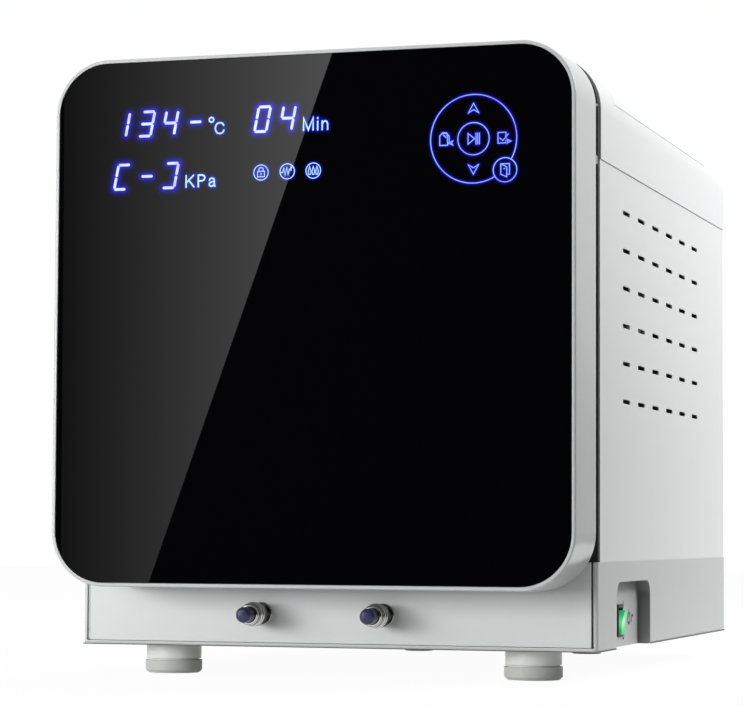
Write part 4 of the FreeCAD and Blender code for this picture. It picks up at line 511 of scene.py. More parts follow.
# Letters: a cap is one high, so are its strokes' heights, and the first number is the letter's width
LETTERS = {
    "M": (0.82, [[(0, 0), (0, 1), (0.41, 0.02), (0.82, 1), (0.82, 0)]]),
    "i": (0.02, [[(0.01, 0), (0.01, 0.70)], [(0.01, 0.93), (0.01, 0.98)]]),
    "n": (0.46, [[(0, 0), (0, 0.70)],
                 [(0, 0.45), (0.08, 0.62), (0.24, 0.70), (0.40, 0.63), (0.46, 0.46), (0.46, 0)]]),
    "K": (0.72, [[(0, 0), (0, 1)], [(0.68, 1), (0.0, 0.36)], [(0.25, 0.59), (0.72, 0)]]),
    "P": (0.60, [[(0, 0), (0, 1), (0.34, 1), (0.52, 0.94), (0.60, 0.76), (0.52, 0.58), (0.34, 0.50),
                  (0, 0.50)]]),
    "a": (0.50, [[(0.02, 0.52), (0.08, 0.65), (0.25, 0.71), (0.40, 0.66), (0.46, 0.53), (0.46, 0.12),
                  (0.52, 0)],
                 [(0.46, 0.42), (0.20, 0.37), (0.04, 0.29), (0.0, 0.17), (0.06, 0.05), (0.20, 0),
                  (0.36, 0.06), (0.46, 0.20)]]),
    "C": (0.84, [[(0.84, 0.30), (0.76, 0.12), (0.60, 0.02), (0.42, 0), (0.22, 0.05), (0.06, 0.24), (0, 0.5),
                  (0.06, 0.76), (0.22, 0.95), (0.42, 1), (0.60, 0.98), (0.75, 0.89), (0.82, 0.74)]]),
}
WORDS = [("Min", -4.2, 437.9, 9.8, 0.38), ("KPa", -104.0, 395.5, 9.4, 0.40), ("C", -79.3, 438.0, 8.8, 0.0)]
DEGREE = (-82.6, 449.4, 1.9)

# Keys of the touch ring, round its middle. Each line is closed or open.
ARROW_UP = [(0.0, 28.0), (4.2, 20.4), (0.0, 22.9), (-4.2, 20.4)]
RING_KEYS = (
    (ARROW_UP, True),
    ([(x, -z) for x, z in ARROW_UP], True),
    ([(-4.4, 4.2), (0.9, 0.0), (-4.4, -4.2)], True),
    ([(2.0, 4.3), (2.0, -4.3)], False),
    ([(3.4, 4.3), (3.4, -4.3)], False),
    ([(4.8, 4.3), (4.8, -4.3)], False),
    ([(-27.4, 3.3), (-25.4, 5.2), (-21.4, 4.9), (-20.9, -4.4), (-27.4, -4.4)], True),
    ([(-25.2, 5.6), (-22.2, 5.4), (-19.8, 2.8), (-19.7, -1.6)], False),
    ([(-24.6, 4.0), (-22.4, 1.8)], False),
    ([(-20.2, -2.8), (-16.8, -1.2), (-17.8, -2.8), (-16.8, -4.4)], True),
    ([(26.2, 0.2), (26.2, 4.1), (19.8, 4.1), (19.8, -4.2), (26.0, -4.2), (26.2, -2.2)], False),
    ([(21.2, -0.3), (23.8, -2.3), (28.2, 2.8)], False),
    ([(30.2, -2.9), (27.2, -1.4), (28.0, -2.9), (27.2, -4.4)], True),
)
DOOR_KEY = (
    ([(-3.4, -3.4), (-3.4, 4.7), (3.6, 4.7), (3.6, -3.6), (1.8, -3.6)], False),
    ([(-3.4, 4.7), (1.4, 2.2), (1.4, -5.6), (-3.4, -3.4)], False),
    ([(-0.9, 0.9), (-0.3, 0.9)], False),
)
LOCK_SIGN = (
    ([(-2.9, -3.4), (-2.9, 1.0), (2.9, 1.0), (2.9, -3.4)], True),
    ([(-1.8, 1.0), (-1.8, 2.9), (-0.7, 4.0), (0.7, 4.0), (1.8, 2.9), (1.8, 1.0)], False),
    ([(0.0, -0.4), (0.0, -2.0)], False),
)
WAVE_SIGN = (
    ([(-5.2, -0.8), (-3.8, -0.8), (-2.9, 2.9), (-1.8, -3.0), (-0.4, 3.2), (0.7, -2.6), (1.7, 1.4),
      (4.4, 3.4)], False),
    ([(3.2, 0.6), (3.2, 4.2)], False),
)
DROP = [(0.0, 3.4), (1.1, -0.4), (0.7, -3.0), (-0.7, -3.0), (-1.1, -0.4)]
DROPS_SIGN = tuple(([(x + step, z) for x, z in DROP], True) for step in (-3.1, 0.0, 3.1))


def word_lines():
    """Strokes of the units, in millimetres."""
    lines = []
    for text, x, z, high, space in WORDS:
        for letter in text:
            width, strokes = LETTERS[letter]
            lines += [[(x + u * high, z + v * high) for u, v in stroke] for stroke in strokes]
            x += (width + space) * high
    ring_x, ring_z, radius = DEGREE
    ring = circle_points(ring_x, ring_z, radius, steps=24)
    return [*lines, [*ring, ring[0]]]


def figure_lines(display):
    """Centre lines of the lit bars, in millimetres."""
    lines = []
    wide, high = display.figure_width / MM, display.figure_height / MM
    for bars, x, z in FIGURES:
        for bar in bars:
            lines.append([(x + u * wide + v * high * display.slant, z + v * high) for u, v in SEGMENTS[bar]])
    return lines


def shifted(points, at):
    return [(x + at[0], z + at[1]) for x, z in points]


def symbol_lines():
    """Closed and open lines of ring, keys and status symbols, in millimetres."""
    key = Vector(DOOR_KEY_AT) - Vector(RING_AT)
    bearing = math.degrees(math.atan2(key.y, key.x))
    outer, inner = RING_RADII
    part = (outer ** 2 + key.length ** 2 - DOOR_KEY_RADIUS ** 2) / (2 * outer * key.length)
    half = math.degrees(math.acos(part))
    closed = [circle_points(*RING_AT, inner), circle_points(*DOOR_KEY_AT, DOOR_KEY_RADIUS)]
    closed += [circle_points(*at, STATUS_RADIUS, steps=48) for at in STATUS]
    opened = [circle_points(*RING_AT, outer, bearing + half, bearing + 360 - half)]
    drawn = zip((RING_KEYS, DOOR_KEY, LOCK_SIGN, WAVE_SIGN, DROPS_SIGN), (RING_AT, DOOR_KEY_AT, *STATUS))
    for sign, at in drawn:
        for points, shut in sign:
            (closed if shut else opened).append(shifted(points, at))
    return closed, opened


GLOW_FALL = 1.4
GLOW_LEAST = 0.004
FAR_AWAY = 1e9


def glow_sheet(name, lines, low, high, reach, step, material, lift=GLOW_LIFT):
    """A thin sheet on the glass whose points hold how much light the lines near them spread."""
    columns = int((high[0] - low[0]) / step) + 1
    rows = int((high[1] - low[1]) / step) + 1
    grid_x, grid_z = np.meshgrid(np.linspace(low[0], high[0], columns), np.linspace(low[1], high[1], rows))
    light = np.zeros_like(grid_x)
    for line in lines:
        nearest = np.full_like(grid_x, FAR_AWAY)
        for (ax, az), (bx, bz) in zip(line, line[1:]):
            dx, dz = bx - ax, bz - az
            along = ((grid_x - ax) * dx + (grid_z - az) * dz) / max(dx * dx + dz * dz, TINY)
            along = np.clip(along, 0, 1)
            nearest = np.minimum(nearest, np.hypot(grid_x - ax - along * dx, grid_z - az - along * dz))
        light += np.exp(-((nearest / reach) ** GLOW_FALL))
    light = np.clip(light, 0, 1)
    used = light > GLOW_LEAST
    keep = used[:-1, :-1] | used[1:, :-1] | used[:-1, 1:] | used[1:, 1:]
    level = glass_level() - lift
    points = [(x * MM, level, z * MM) for x, z in zip(grid_x.ravel(), grid_z.ravel())]
    faces = []
    for row, column in zip(*np.nonzero(keep)):
        corner = row * columns + column
        faces.append((corner, corner + 1, corner + columns + 1, corner + columns))
    data = bpy.data.meshes.new(name)
    data.from_pydata(points, [], faces)
    shade = data.attributes.new("spread", "FLOAT", "POINT")
    shade.data.foreach_set("value", light.ravel().astype(np.float32))
    mesh = bmesh.new()
    mesh.from_mesh(data)
    bmesh.ops.delete(mesh, geom=[vert for vert in mesh.verts if not vert.link_faces], context="VERTS")
    mesh.to_mesh(data)
    mesh.free()
    return placed(name, data, material, "door")


def lit(name, tint, level, second, spots):
    """A light behind the print that wanders between two colours."""
    made, tree, surface = blank(name)
    cloud = scaled(tree, noise(tree, place_on_object(tree), spots), 0.36, 0.62, 0.0, 1.0)
    tree.links.new(mixed(tree, cloud, coloured(tint), coloured(second)), surface.inputs["Emission Color"])
    for label, value in (("Emission Strength", level), ("Base Color", BLACK), ("Roughness", 0.06)):
        surface.inputs[label].default_value = value
    return made


def black_glass(name, tint, glow=None):
    """Black glass, and the same with light that spreads in its print."""
    values = {"Colour": coloured(tint), "Mottle": 0.0, "Roughness": 0.006, "Spread": 0.006,
              "Grain Depth": 0.0, "Edge": 0.0003, "Dust": 0.0}
    made = finish(name, shader_group("skin", painted_skin), values, {"IOR": 1.5})
    if glow:
        tree = made.node_tree
        surface = tree.nodes["Principled BSDF"]
        amount = node(tree, "Attribute", attribute_name="spread").outputs["Fac"]
        tree.links.new(mixed(tree, amount, BLACK, coloured(glow)), surface.inputs["Emission Color"])
        surface.inputs["Emission Strength"].default_value = 0.85
    return made


# The stage, in metres

LAMPS = (
    ("top lamp", (0.1, 0.5, 2.4), (0, 0, 0.3), (1.8, 1.8)),
    ("front lamp", (-1.6, -2.4, 0.42), (0, 0, 0.12), (0.8, 0.8)),
    ("fill lamp", (-1.5, -2.7, 0.45), (0, 0, 0.2), (2.4, 0.8)),
    ("side lamp", (1.5, 0.6, 1.2), (0.2, 0.1, 0.35), (0.6, 0.6)),
)
SENSOR_WIDTH = 36.0
FARTHEST = 50
SKY_TINT = (0.985, 1.0, 0.995, 1)
FLOOR_REACH = 6.0
FLOOR_THICK = 0.02
FLOOR_GREYS = ((0.66, 0.66, 0.66, 1), (0.70, 0.70, 0.70, 1))
FLOOR_GLOW = 1.03
FLOOR_GLOW_SHARE = 0.93
BLACK_CARD = [(-6, -3.4, -0.9), (4.5, -3.4, -0.9), (4.5, -3.4, 3.6), (-6, -3.4, 3.6)]
SIDE_CARD = [(0.34, -1.05, -0.02), (0.56, 1.3, -0.02), (0.74, 1.3, 0.80), (0.52, -1.05, 0.80)]
# Where the grey card's corners show on the glass, in millimetres, and how far out it stands
GREY_CARD_SEEN = ((19.8, 499.9), (-132.3, 79.2), (-209.6, 74.0), (-211.6, 505.0))
GREY_CARD_DEPTH = -3.2
GREY_CARD_MORE = 0.15
GREY_CARD_FOOT_MORE = 0.12


def seen_directly(tree):
    """One for a ray of the camera, also by way of a mirror or through glass, and nought for any other."""
    path = node(tree, "LightPath").outputs
    bounced = sums(tree, "MAXIMUM", path["Is Glossy Ray"], path["Is Transmission Ray"])
    return sums(tree, "MAXIMUM", path["Is Camera Ray"], bounced)


def stand(name, mesh, material):
    """Put an object of the stage into the scene."""
    data = bpy.data.meshes.new(name)
    mesh.to_mesh(data)
    mesh.free()
    item = bpy.data.objects.new(name, data)
    bpy.context.collection.objects.link(item)
    data.materials.append(material)
    return item


class AUTOCLAVE_OT_stage(bpy.types.Operator):
    """Camera, floor, sky, lamps and the cards that glass and rim reflect"""
    bl_idname = "autoclave.stage"
    bl_label = "Stage"

    def execute(self, context):
        stage = context.scene.autoclave_stage
        context.scene.view_settings.view_transform = "Standard"
        self.add_camera(context, stage)
        self.add_sky(context, stage)
        self.add_floor()
        self.add_lamps(context, stage)
        self.add_cards(stage)
        return {"FINISHED"}

    def add_camera(self, context, stage):
        data = bpy.data.cameras.new("camera")
        data.sensor_fit = "HORIZONTAL"
        data.sensor_width = SENSOR_WIDTH
        data.lens = stage.lens
        data.clip_end = FARTHEST
        yaw, pitch, roll = stage.camera_yaw, stage.camera_pitch, stage.camera_roll
        ahead = Vector((math.sin(yaw) * math.cos(pitch), math.cos(yaw) * math.cos(pitch), math.sin(pitch)))
        right = Vector((math.cos(yaw), -math.sin(yaw), 0))
        above = right.cross(ahead)
        across = right * math.cos(roll) + above * math.sin(roll)
        above = above * math.cos(roll) - right * math.sin(roll)
        camera = bpy.data.objects.new("camera", data)
        context.collection.objects.link(camera)
        turn = Matrix((across, above, -ahead)).transposed().to_4x4()
        camera.matrix_world = Matrix.Translation(Vector(stage.camera_place)) @ turn
        context.scene.camera = camera

    def add_sky(self, context, stage):
        """White where it is seen, and a duller tint where it lights things."""
        world = bpy.data.worlds.new("studio")
        world.use_nodes = True
        context.scene.world = world
        tree = world.node_tree
        tree.nodes.clear()
        white = node(tree, "Background", {"Color": WHITE, "Strength": 1.0}).outputs[0]
        dull = node(tree, "Background", {"Color": SKY_TINT, "Strength": stage.sky}).outputs[0]
        mix = node(tree, "MixShader", {0: seen_directly(tree), 1: dull, 2: white})
        out = tree.nodes.new("ShaderNodeOutputWorld")
        tree.links.new(mix.outputs[0], out.inputs["Surface"])

    def add_floor(self):
        mesh = bmesh.new()
        box_mesh(mesh, (-FLOOR_REACH, -FLOOR_REACH, -FLOOR_THICK), (FLOOR_REACH, FLOOR_REACH, 0))
        made, tree, surface = blank("floor white")
        surface.inputs["Roughness"].default_value = 0.9
        surface.inputs["Specular IOR Level"].default_value = 0.0
        tone = mixed(tree, noise(tree, place_on_object(tree), 3.0), *FLOOR_GREYS)
        tree.links.new(tone, surface.inputs["Base Color"])
        bright = node(tree, "Emission", {"Color": WHITE, "Strength": FLOOR_GLOW}).outputs[0]
        share = sums(tree, "MULTIPLY", seen_directly(tree), FLOOR_GLOW_SHARE)
        mix = node(tree, "MixShader", {0: share, 1: surface.outputs[0], 2: bright})
        tree.links.new(mix.outputs[0], tree.nodes["Material Output"].inputs["Surface"])
        stand("floor", mesh, made)

    def add_lamps(self, context, stage):
        for name, place, aim, size in LAMPS:
            data = bpy.data.lights.new(name, "AREA")
            data.shape = "RECTANGLE"
            data.size, data.size_y = size
            data.energy = getattr(stage, name.replace(" ", "_"))
            lamp = bpy.data.objects.new(name, data)
            context.collection.objects.link(lamp)
            lamp.matrix_world = facing(place, Vector(place) - Vector(aim))
            lamp.visible_glossy = name != "fill lamp"

    def add_cards(self, stage):
        """A black card in the glass, a grey one with a slanted edge, and a dark one at the side."""
        self.add_card("black card", BLACK_CARD)
        eye = Vector(stage.camera_place)
        face = glass_level()
        corners = []
        for x, z in GREY_CARD_SEEN:
            hit = Vector((x * MM, face, z * MM))
            way = hit - eye
            way.y = -way.y
            corners.append(hit + way * ((GREY_CARD_DEPTH - face) / way.y))
        top, low, far_low, far_top = corners
        top_more = top + (top - low) * GREY_CARD_MORE
        low_more = low + (low - top) * GREY_CARD_MORE
        far_top = far_top + (far_top - far_low) * GREY_CARD_MORE
        far_low = far_low + (far_low - far_top) * GREY_CARD_FOOT_MORE
        self.add_card("grey card", [low_more, top_more, far_top, far_low], level=stage.card_level)
        self.add_card("side card", SIDE_CARD, fades=True)

    def add_card(self, name, corners, level=None, fades=False):
        mesh = bmesh.new()
        mesh.faces.new([mesh.verts.new(corner) for corner in corners])
        made, tree, surface = blank(name)
        surface.inputs["Base Color"].default_value = BLACK
        surface.inputs["Specular IOR Level"].default_value = 0.0
        if level:
            self.light_card(tree, surface, level)
        if fades:
            self.fade_card(tree, surface)
        card = stand(name, mesh, made)
        card.visible_camera = False
        card.visible_diffuse = fades
        card.visible_shadow = False
        card.visible_transmission = False

    def light_card(self, tree, surface, level):
        """The grey card is brighter towards the right."""
        place = node(tree, "TexCoord").outputs["Generated"]
        across = node(tree, "SeparateXYZ", {"Vector": place}).outputs["X"]
        ramp = sums(tree, "POWER", scaled(tree, across, 0.0, 1.0, 0.2, 1.0), 1.7)
        tree.links.new(grey(tree, ramp), surface.inputs["Emission Color"])
        surface.inputs["Emission Strength"].default_value = level

    def fade_card(self, tree, surface):
        """The side card thins out upwards and to the rear, so that its edge doesn't show in the rim."""
        place = node(tree, "TexCoord").outputs["Generated"]
        parts = node(tree, "SeparateXYZ", {"Vector": place}).outputs
        upwards = scaled(tree, parts["Z"], 0.32, 0.95, 1.0, 0.0)
        backwards = scaled(tree, parts["Y"], 0.40, 1.0, 1.0, 0.55)
        tree.links.new(sums(tree, "MULTIPLY", upwards, backwards), surface.inputs["Alpha"])


# Finishes that no setting changes: name, colour, the nodes that wear it, and its values

OUTER_PAINTS = (
    ("foot plastic", (0.80, 0.81, 0.79),
     ("foot_front_left", "foot_front_right", "foot_rear_left", "foot_rear_right"),
     dict(roughness=0.38, grain=0.15, grain_size=800.0, edge=0.0008)),
    ("foot rubber", (0.58, 0.59, 0.565), ("foot_pads",),
     dict(roughness=0.5, mottle=0.08, grain=0.3, grain_size=500.0)),
)
DOOR_PAINTS = (
    ("inner plastic", (0.66, 0.67, 0.69), ("door_cover",),
     dict(roughness=0.5, mottle=0.05, grain=0.2, grain_size=600.0)),
    ("solder mask", (0.01, 0.10, 0.04), ("display_board", "control_board"),
     dict(roughness=0.35, mottle=0.2, grain=0.3, grain_size=260.0, spread=0.2)),
    ("red silicone", (0.48, 0.05, 0.025), ("door_seal",),
     dict(roughness=0.5, mottle=0.12, grain=0.15, grain_size=350.0, Subsurface_Weight=0.1)),
)
DOOR_METALS = (
    ("turned stainless", (0.58, 0.58, 0.59), ("pressure_plate", "chamber_vessel"),
     dict(roughness=0.24, streak=0.2, depth=0.25, turned=True)),
    ("zinc plate", (0.60, 0.61, 0.63),
     ("door_carrier", "hinge_brackets", "lock_strikers", "lock_bar", "jacket_straps", "cradle_front",
      "cradle_rear", "tank_shelf"),
     dict(roughness=0.36, streak=0.15, depth=0.12, tarnish=0.25, along=(1.0, 0.1, 1.0))),
    ("bright steel", (0.70, 0.70, 0.72), ("hinge_pins", "lock_screw"),
     dict(roughness=0.16, streak=0.1, depth=0.05, tarnish=0.05, along=(0.2, 1.0, 0.2))),
)
WORKS_METALS = (
    ("tray steel", (0.62, 0.62, 0.63), ("tray_rack", "tray_lower", "tray_middle", "tray_upper"),
     dict(roughness=0.26, streak=0.2, depth=0.12, along=(0.05, 1.0, 1.0))),
    ("heater steel", (0.42, 0.36, 0.31), ("heater_band",),
     dict(roughness=0.4, streak=0.25, depth=0.1, tarnish=0.6, along=(1.0, 0.1, 1.0))),
    ("cast aluminium", (0.55, 0.56, 0.57), ("vacuum_pump_head", "condenser"),
     dict(roughness=0.45, streak=0.3, depth=0.5, tarnish=0.2, along=(0.6, 0.6, 0.6))),
    ("brass", (0.62, 0.42, 0.16), ("valve_block", "safety_valve"),
     dict(roughness=0.28, streak=0.15, depth=0.1, tarnish=0.3, along=(1.0, 1.0, 0.2))),
    ("boiler steel", (0.52, 0.52, 0.53), ("steam_generator",),
     dict(roughness=0.3, streak=0.25, depth=0.1, tarnish=0.35, along=(1.0, 0.08, 1.0))),
)
WORKS_PAINTS = (
    ("natural plastic", (0.72, 0.74, 0.72), ("water_tank", "level_stems", "air_filter"),
     dict(roughness=0.35, mottle=0.05, grain=0.1, grain_size=500.0, Subsurface_Weight=0.2)),
    ("float foam", (0.75, 0.70, 0.55), ("clean_float", "used_float"),
     dict(roughness=0.7, mottle=0.2, grain=0.8, grain_size=600.0)),
    ("motor enamel", (0.03, 0.035, 0.045), ("vacuum_pump_motor", "water_pump", "lock_motor"),
     dict(roughness=0.35, mottle=0.2, grain=0.25, grain_size=300.0)),
    ("black plastic", (0.012, 0.012, 0.014), ("mains_inlet", "fan_frame", "fan_rotor", "switch_bezel"),
     dict(mottle=0.2, grain=0.25, grain_size=700.0)),
)
POWDER_COAT = dict(roughness=0.40, grain_size=1100.0)
POWDER_GRAIN = 3
# Painted shade in the base's corners and recess: how far it looks, how steeply it falls, and how dark it
# gets
SHADE_REACH = 0.045
SHADE_POWER = 2.6
SHADE_SHARE = 0.16


class AUTOCLAVE_OT_cabinet_finishes(bpy.types.Operator):
    """Paint and plastic of the cabinet's outside"""
    bl_idname = "autoclave.cabinet_finishes"
    bl_label = "Cabinet finishes"

    def execute(self, context):
        tints = context.scene.autoclave_finishes
        coat = dict(POWDER_COAT, grain=tints.grain * POWDER_GRAIN)
        dress_all(paint, (
            ("cover plastic", tints.cover, ("top_cover", "tank_lid"),
             dict(roughness=0.36, grain=tints.grain, grain_size=1400.0, edge=0.0005)),
            ("panel powder coat", tints.sheet, ("side_panel_left", "side_panel_right", "rear_panel"),
             dict(coat, mottle=0.02)),
            ("lower panel powder coat", tints.lower_panel, ("lower_front_panel",), coat),
            ("base powder coat", tints.base, ("base_pan",), coat),
            ("frame black", tints.frame_dark, ("front_frame",),
             dict(roughness=0.55, grain=0.2, grain_size=700.0, Specular_IOR_Level=0.25)),
        ))
        self.paint_corner_shade(MATERIALS["base powder coat"], tints.base)
        dress_all(paint, OUTER_PAINTS)
        return {"FINISHED"}

    def paint_corner_shade(self, made, tint):
        """Painted shade: the base's paint is darkened in its corners and round the walls of the recess."""
        tree = made.node_tree
        skin = next(item for item in tree.nodes if item.bl_idname == "ShaderNodeGroup")
        corner = node(tree, "AmbientOcclusion", {"Distance": SHADE_REACH}, samples=6, only_local=True)
        depth = sums(tree, "POWER", corner.outputs["AO"], SHADE_POWER)
        # painted shade: closed-in places take a darker copy of the base colour
        dull = coloured(part * SHADE_SHARE for part in tint)
        tree.links.new(mixed(tree, depth, dull, coloured(tint)), skin.inputs["Colour"])


class AUTOCLAVE_OT_door_finishes(bpy.types.Operator):
    """Finishes of the door and its lock"""
    bl_idname = "autoclave.door_finishes"
    bl_label = "Door finishes"

    def execute(self, context):
        tints = context.scene.autoclave_finishes
        rim = paint("door plastic", tints.rim, roughness=0.20, grain=tints.grain * 0.5, grain_size=1400.0,
                    edge=0.0007, Coat_Weight=0.15)
        dress(rim, "door_shell")
        dress(black_glass("black glass", tints.glass), "door_glass")
        dress_all(paint, DOOR_PAINTS)
        dress_all(metal, DOOR_METALS)
        return {"FINISHED"}


class AUTOCLAVE_OT_vessel_finishes(bpy.types.Operator):
    """Finishes of trays, jacket, tank and works"""
    bl_idname = "autoclave.vessel_finishes"
    bl_label = "Vessel finishes"

    def execute(self, context):
        dress_all(metal, WORKS_METALS)
        dress_all(paint, WORKS_PAINTS)
        self.quilt()
        return {"FINISHED"}

    def quilt(self):
        """Glass cloth with a plain weave."""
        made, tree, surface = blank("glass cloth")
        threads = {"Vector": place_on_object(tree), "Scale": 190.0, "Distortion": 1.0}
        warp, weft = [node(tree, "TexWave", threads, bands_direction=way).outputs["Fac"]
                      for way in ("Y", "DIAGONAL")]
        weave = sums(tree, "MULTIPLY", warp, weft)
        tone = mixed(tree, weave, (0.52, 0.50, 0.44, 1), (0.80, 0.78, 0.70, 1))
        tree.links.new(tone, surface.inputs["Base Color"])
        tree.links.new(scaled(tree, weave, 0.0, 1.0, 0.75, 0.95), surface.inputs["Roughness"])
        bump = node(tree, "Bump", {"Height": weave, "Strength": 0.6, "Distance": 0.0006})
        tree.links.new(bump.outputs["Normal"], surface.inputs["Normal"])
        surface.inputs["Sheen Weight"].default_value = 0.3
        dress(made, "insulation_jacket")


# The lit display: sizes in millimetres

SYMBOLS_FROM = 60.0
GLOW_STEP = 0.8
FIGURE_GLOW_BOX = ((-176, 386), (24, 468))
UNIT_GLOW_BOX = ((-112, 388), (24, 456))
RING_GLOW_BOX = ((-40, -40), (42, 40))
RING_GLOW_STEP = 0.7
STATUS_GLOW_REACH = 9.5
STATUS_GLOW_STEP = 0.6
STATUS_WIDTH = 9


class AUTOCLAVE_OT_figures(bpy.types.Operator):
    """Lit figures with their units on the door glass"""
    bl_idname = "autoclave.figures"
    bl_label = "Lit figures"

    def execute(self, context):
        display = context.scene.autoclave_display
        tints = context.scene.autoclave_finishes
        level = glass_level() - FIGURE_LIFT
        figures, words = figure_lines(display), word_lines()
        figure_light = lit("figure light", display.figure_core, 1.2, display.figure_second, 90.0)
        word_light = lit("word light", display.word_core, 1.15, display.word_second, 60.0)
        for name, lines, stroke, light in (("figures", figures, display.figure_stroke, figure_light),
                                           ("units", words, display.word_stroke, word_light)):
            mesh = bmesh.new()
            for line in lines:
                strip(mesh, in_metres(line), stroke, level)
            piece(name, mesh, light, "door")
        glass = black_glass("glass with spread light", tints.glass, display.glow)
        reach = display.glow_reach / MM
        glow_sheet("figure_glow", figures, *FIGURE_GLOW_BOX, reach * 1.5, GLOW_STEP, glass)
        glow_sheet("unit_glow", words, *UNIT_GLOW_BOX, reach * 0.75, GLOW_STEP, glass, UNIT_GLOW_LIFT)
        return {"FINISHED"}


class AUTOCLAVE_OT_touch_ring(bpy.types.Operator):
    """Touch ring, its keys and the status symbols"""
    bl_idname = "autoclave.touch_ring"
    bl_label = "Touch ring"

    def execute(self, context):
        display = context.scene.autoclave_display
        level = glass_level() - FIGURE_LIFT
        closed, opened = symbol_lines()
        line_light = lit("line light", display.line_core, 1.2, display.line_second, 34.0)
        for name, light, touch in (("touch_symbols", line_light, True),
                                   ("status_symbols", MATERIALS["word light"], False)):
            mesh = bmesh.new()
            for lines, shut in ((closed, True), (opened, False)):
                for line in lines:
                    if (line[0][0] > SYMBOLS_FROM) == touch:
                        strip(mesh, in_metres(line), display.line_stroke, level, closed=shut)
            piece(name, mesh, light, "door")
        lines = [[*points, points[0]] for points in closed] + opened
        ring = [line for line in lines if line[0][0] > SYMBOLS_FROM]
        status = [line for line in lines if line[0][0] < SYMBOLS_FROM]
        glass = MATERIALS["glass with spread light"]
        reach = display.glow_reach / MM * 0.55
        glow_sheet("ring_glow", ring, *shifted(RING_GLOW_BOX, RING_AT), reach, RING_GLOW_STEP, glass)
        far = STATUS_GLOW_REACH
        for index, at in enumerate(STATUS):
            near = [line for line in status if abs(line[0][0] - at[0]) < STATUS_WIDTH]
            low, high = shifted([(-far, -far), (far, far)], at)
            glow_sheet(f"status_glow_{index}", near, low, high, reach, STATUS_GLOW_STEP, glass)
        return {"FINISHED"}


# The drain couplings: profiles of radius and height, in metres

FRONT = (0, -1, 0)
REAR = (0, 1, 0)
DOWN = (0, 0, -1)
UP = (0, 0, 1)
# The sleeve's bright bands: how far from its rear as a share of its length, and how far sunk
SLEEVE_BANDS = ((0.36, 0.0), (0.62, 0.0005))
BAND_WIDTH = 0.19
KNURL_SUNK = 0.0006
KNURL_START = 0.0004
KNURL_END = 0.27
RIDGES = 40
RIDGE_WIDTH = 0.8
RIDGE_FOOT = 0.0001
COLLAR_HOLE = 0.0058
COLLAR_PROFILE = ((-0.0006, 0.0002), (0.0002, -0.0004), (0.0003, -0.0016), (0.0002, -0.0030),
                  (-0.0006, -0.0034), (-0.0006, -0.0002))
PLUG_PROFILE = [(0, 0.0007), (0.0036, 0.0006), (0.0050, 0.0003), (0.0060, -0.0006), (0.0064, -0.0018),
                (0.0064, -0.0026), (0.0058, -0.0027), (0, -0.0010)]
WASHER_PROFILE = [(0.0064, -0.0001), (0.0092, -0.0001), (0.0096, 0.0003), (0.0092, 0.0008),
                  (0.0084, 0.0009), (0.0080, 0.0003), (0.0064, 0.0003)]
SLEEVE_METALS = (
    ("coupling nickel", (0.36, 0.35, 0.33), ("drain_sleeve_left", "drain_sleeve_right"),
     dict(roughness=0.24, streak=0.15, depth=0.06, tarnish=0.2)),
    ("blackened brass", (0.055, 0.055, 0.055), ("drain_body_left", "drain_body_right"),
     dict(roughness=0.32, streak=0.1, depth=0.1, tarnish=0.1)),
    ("coupling chrome", (0.66, 0.66, 0.66), (),
     dict(roughness=0.13, streak=0.05, depth=0.02, tarnish=0.08)),
)
PLUG_PAINTS = (
    ("plug plastic", (0.008, 0.009, 0.013), ("drain_plugs",),
     dict(roughness=0.3, mottle=0.1, grain=0.1, grain_size=700.0)),
    ("plug face", (0.022, 0.020, 0.085), (), dict(roughness=0.3, mottle=0.2, grain=0.05)),
)


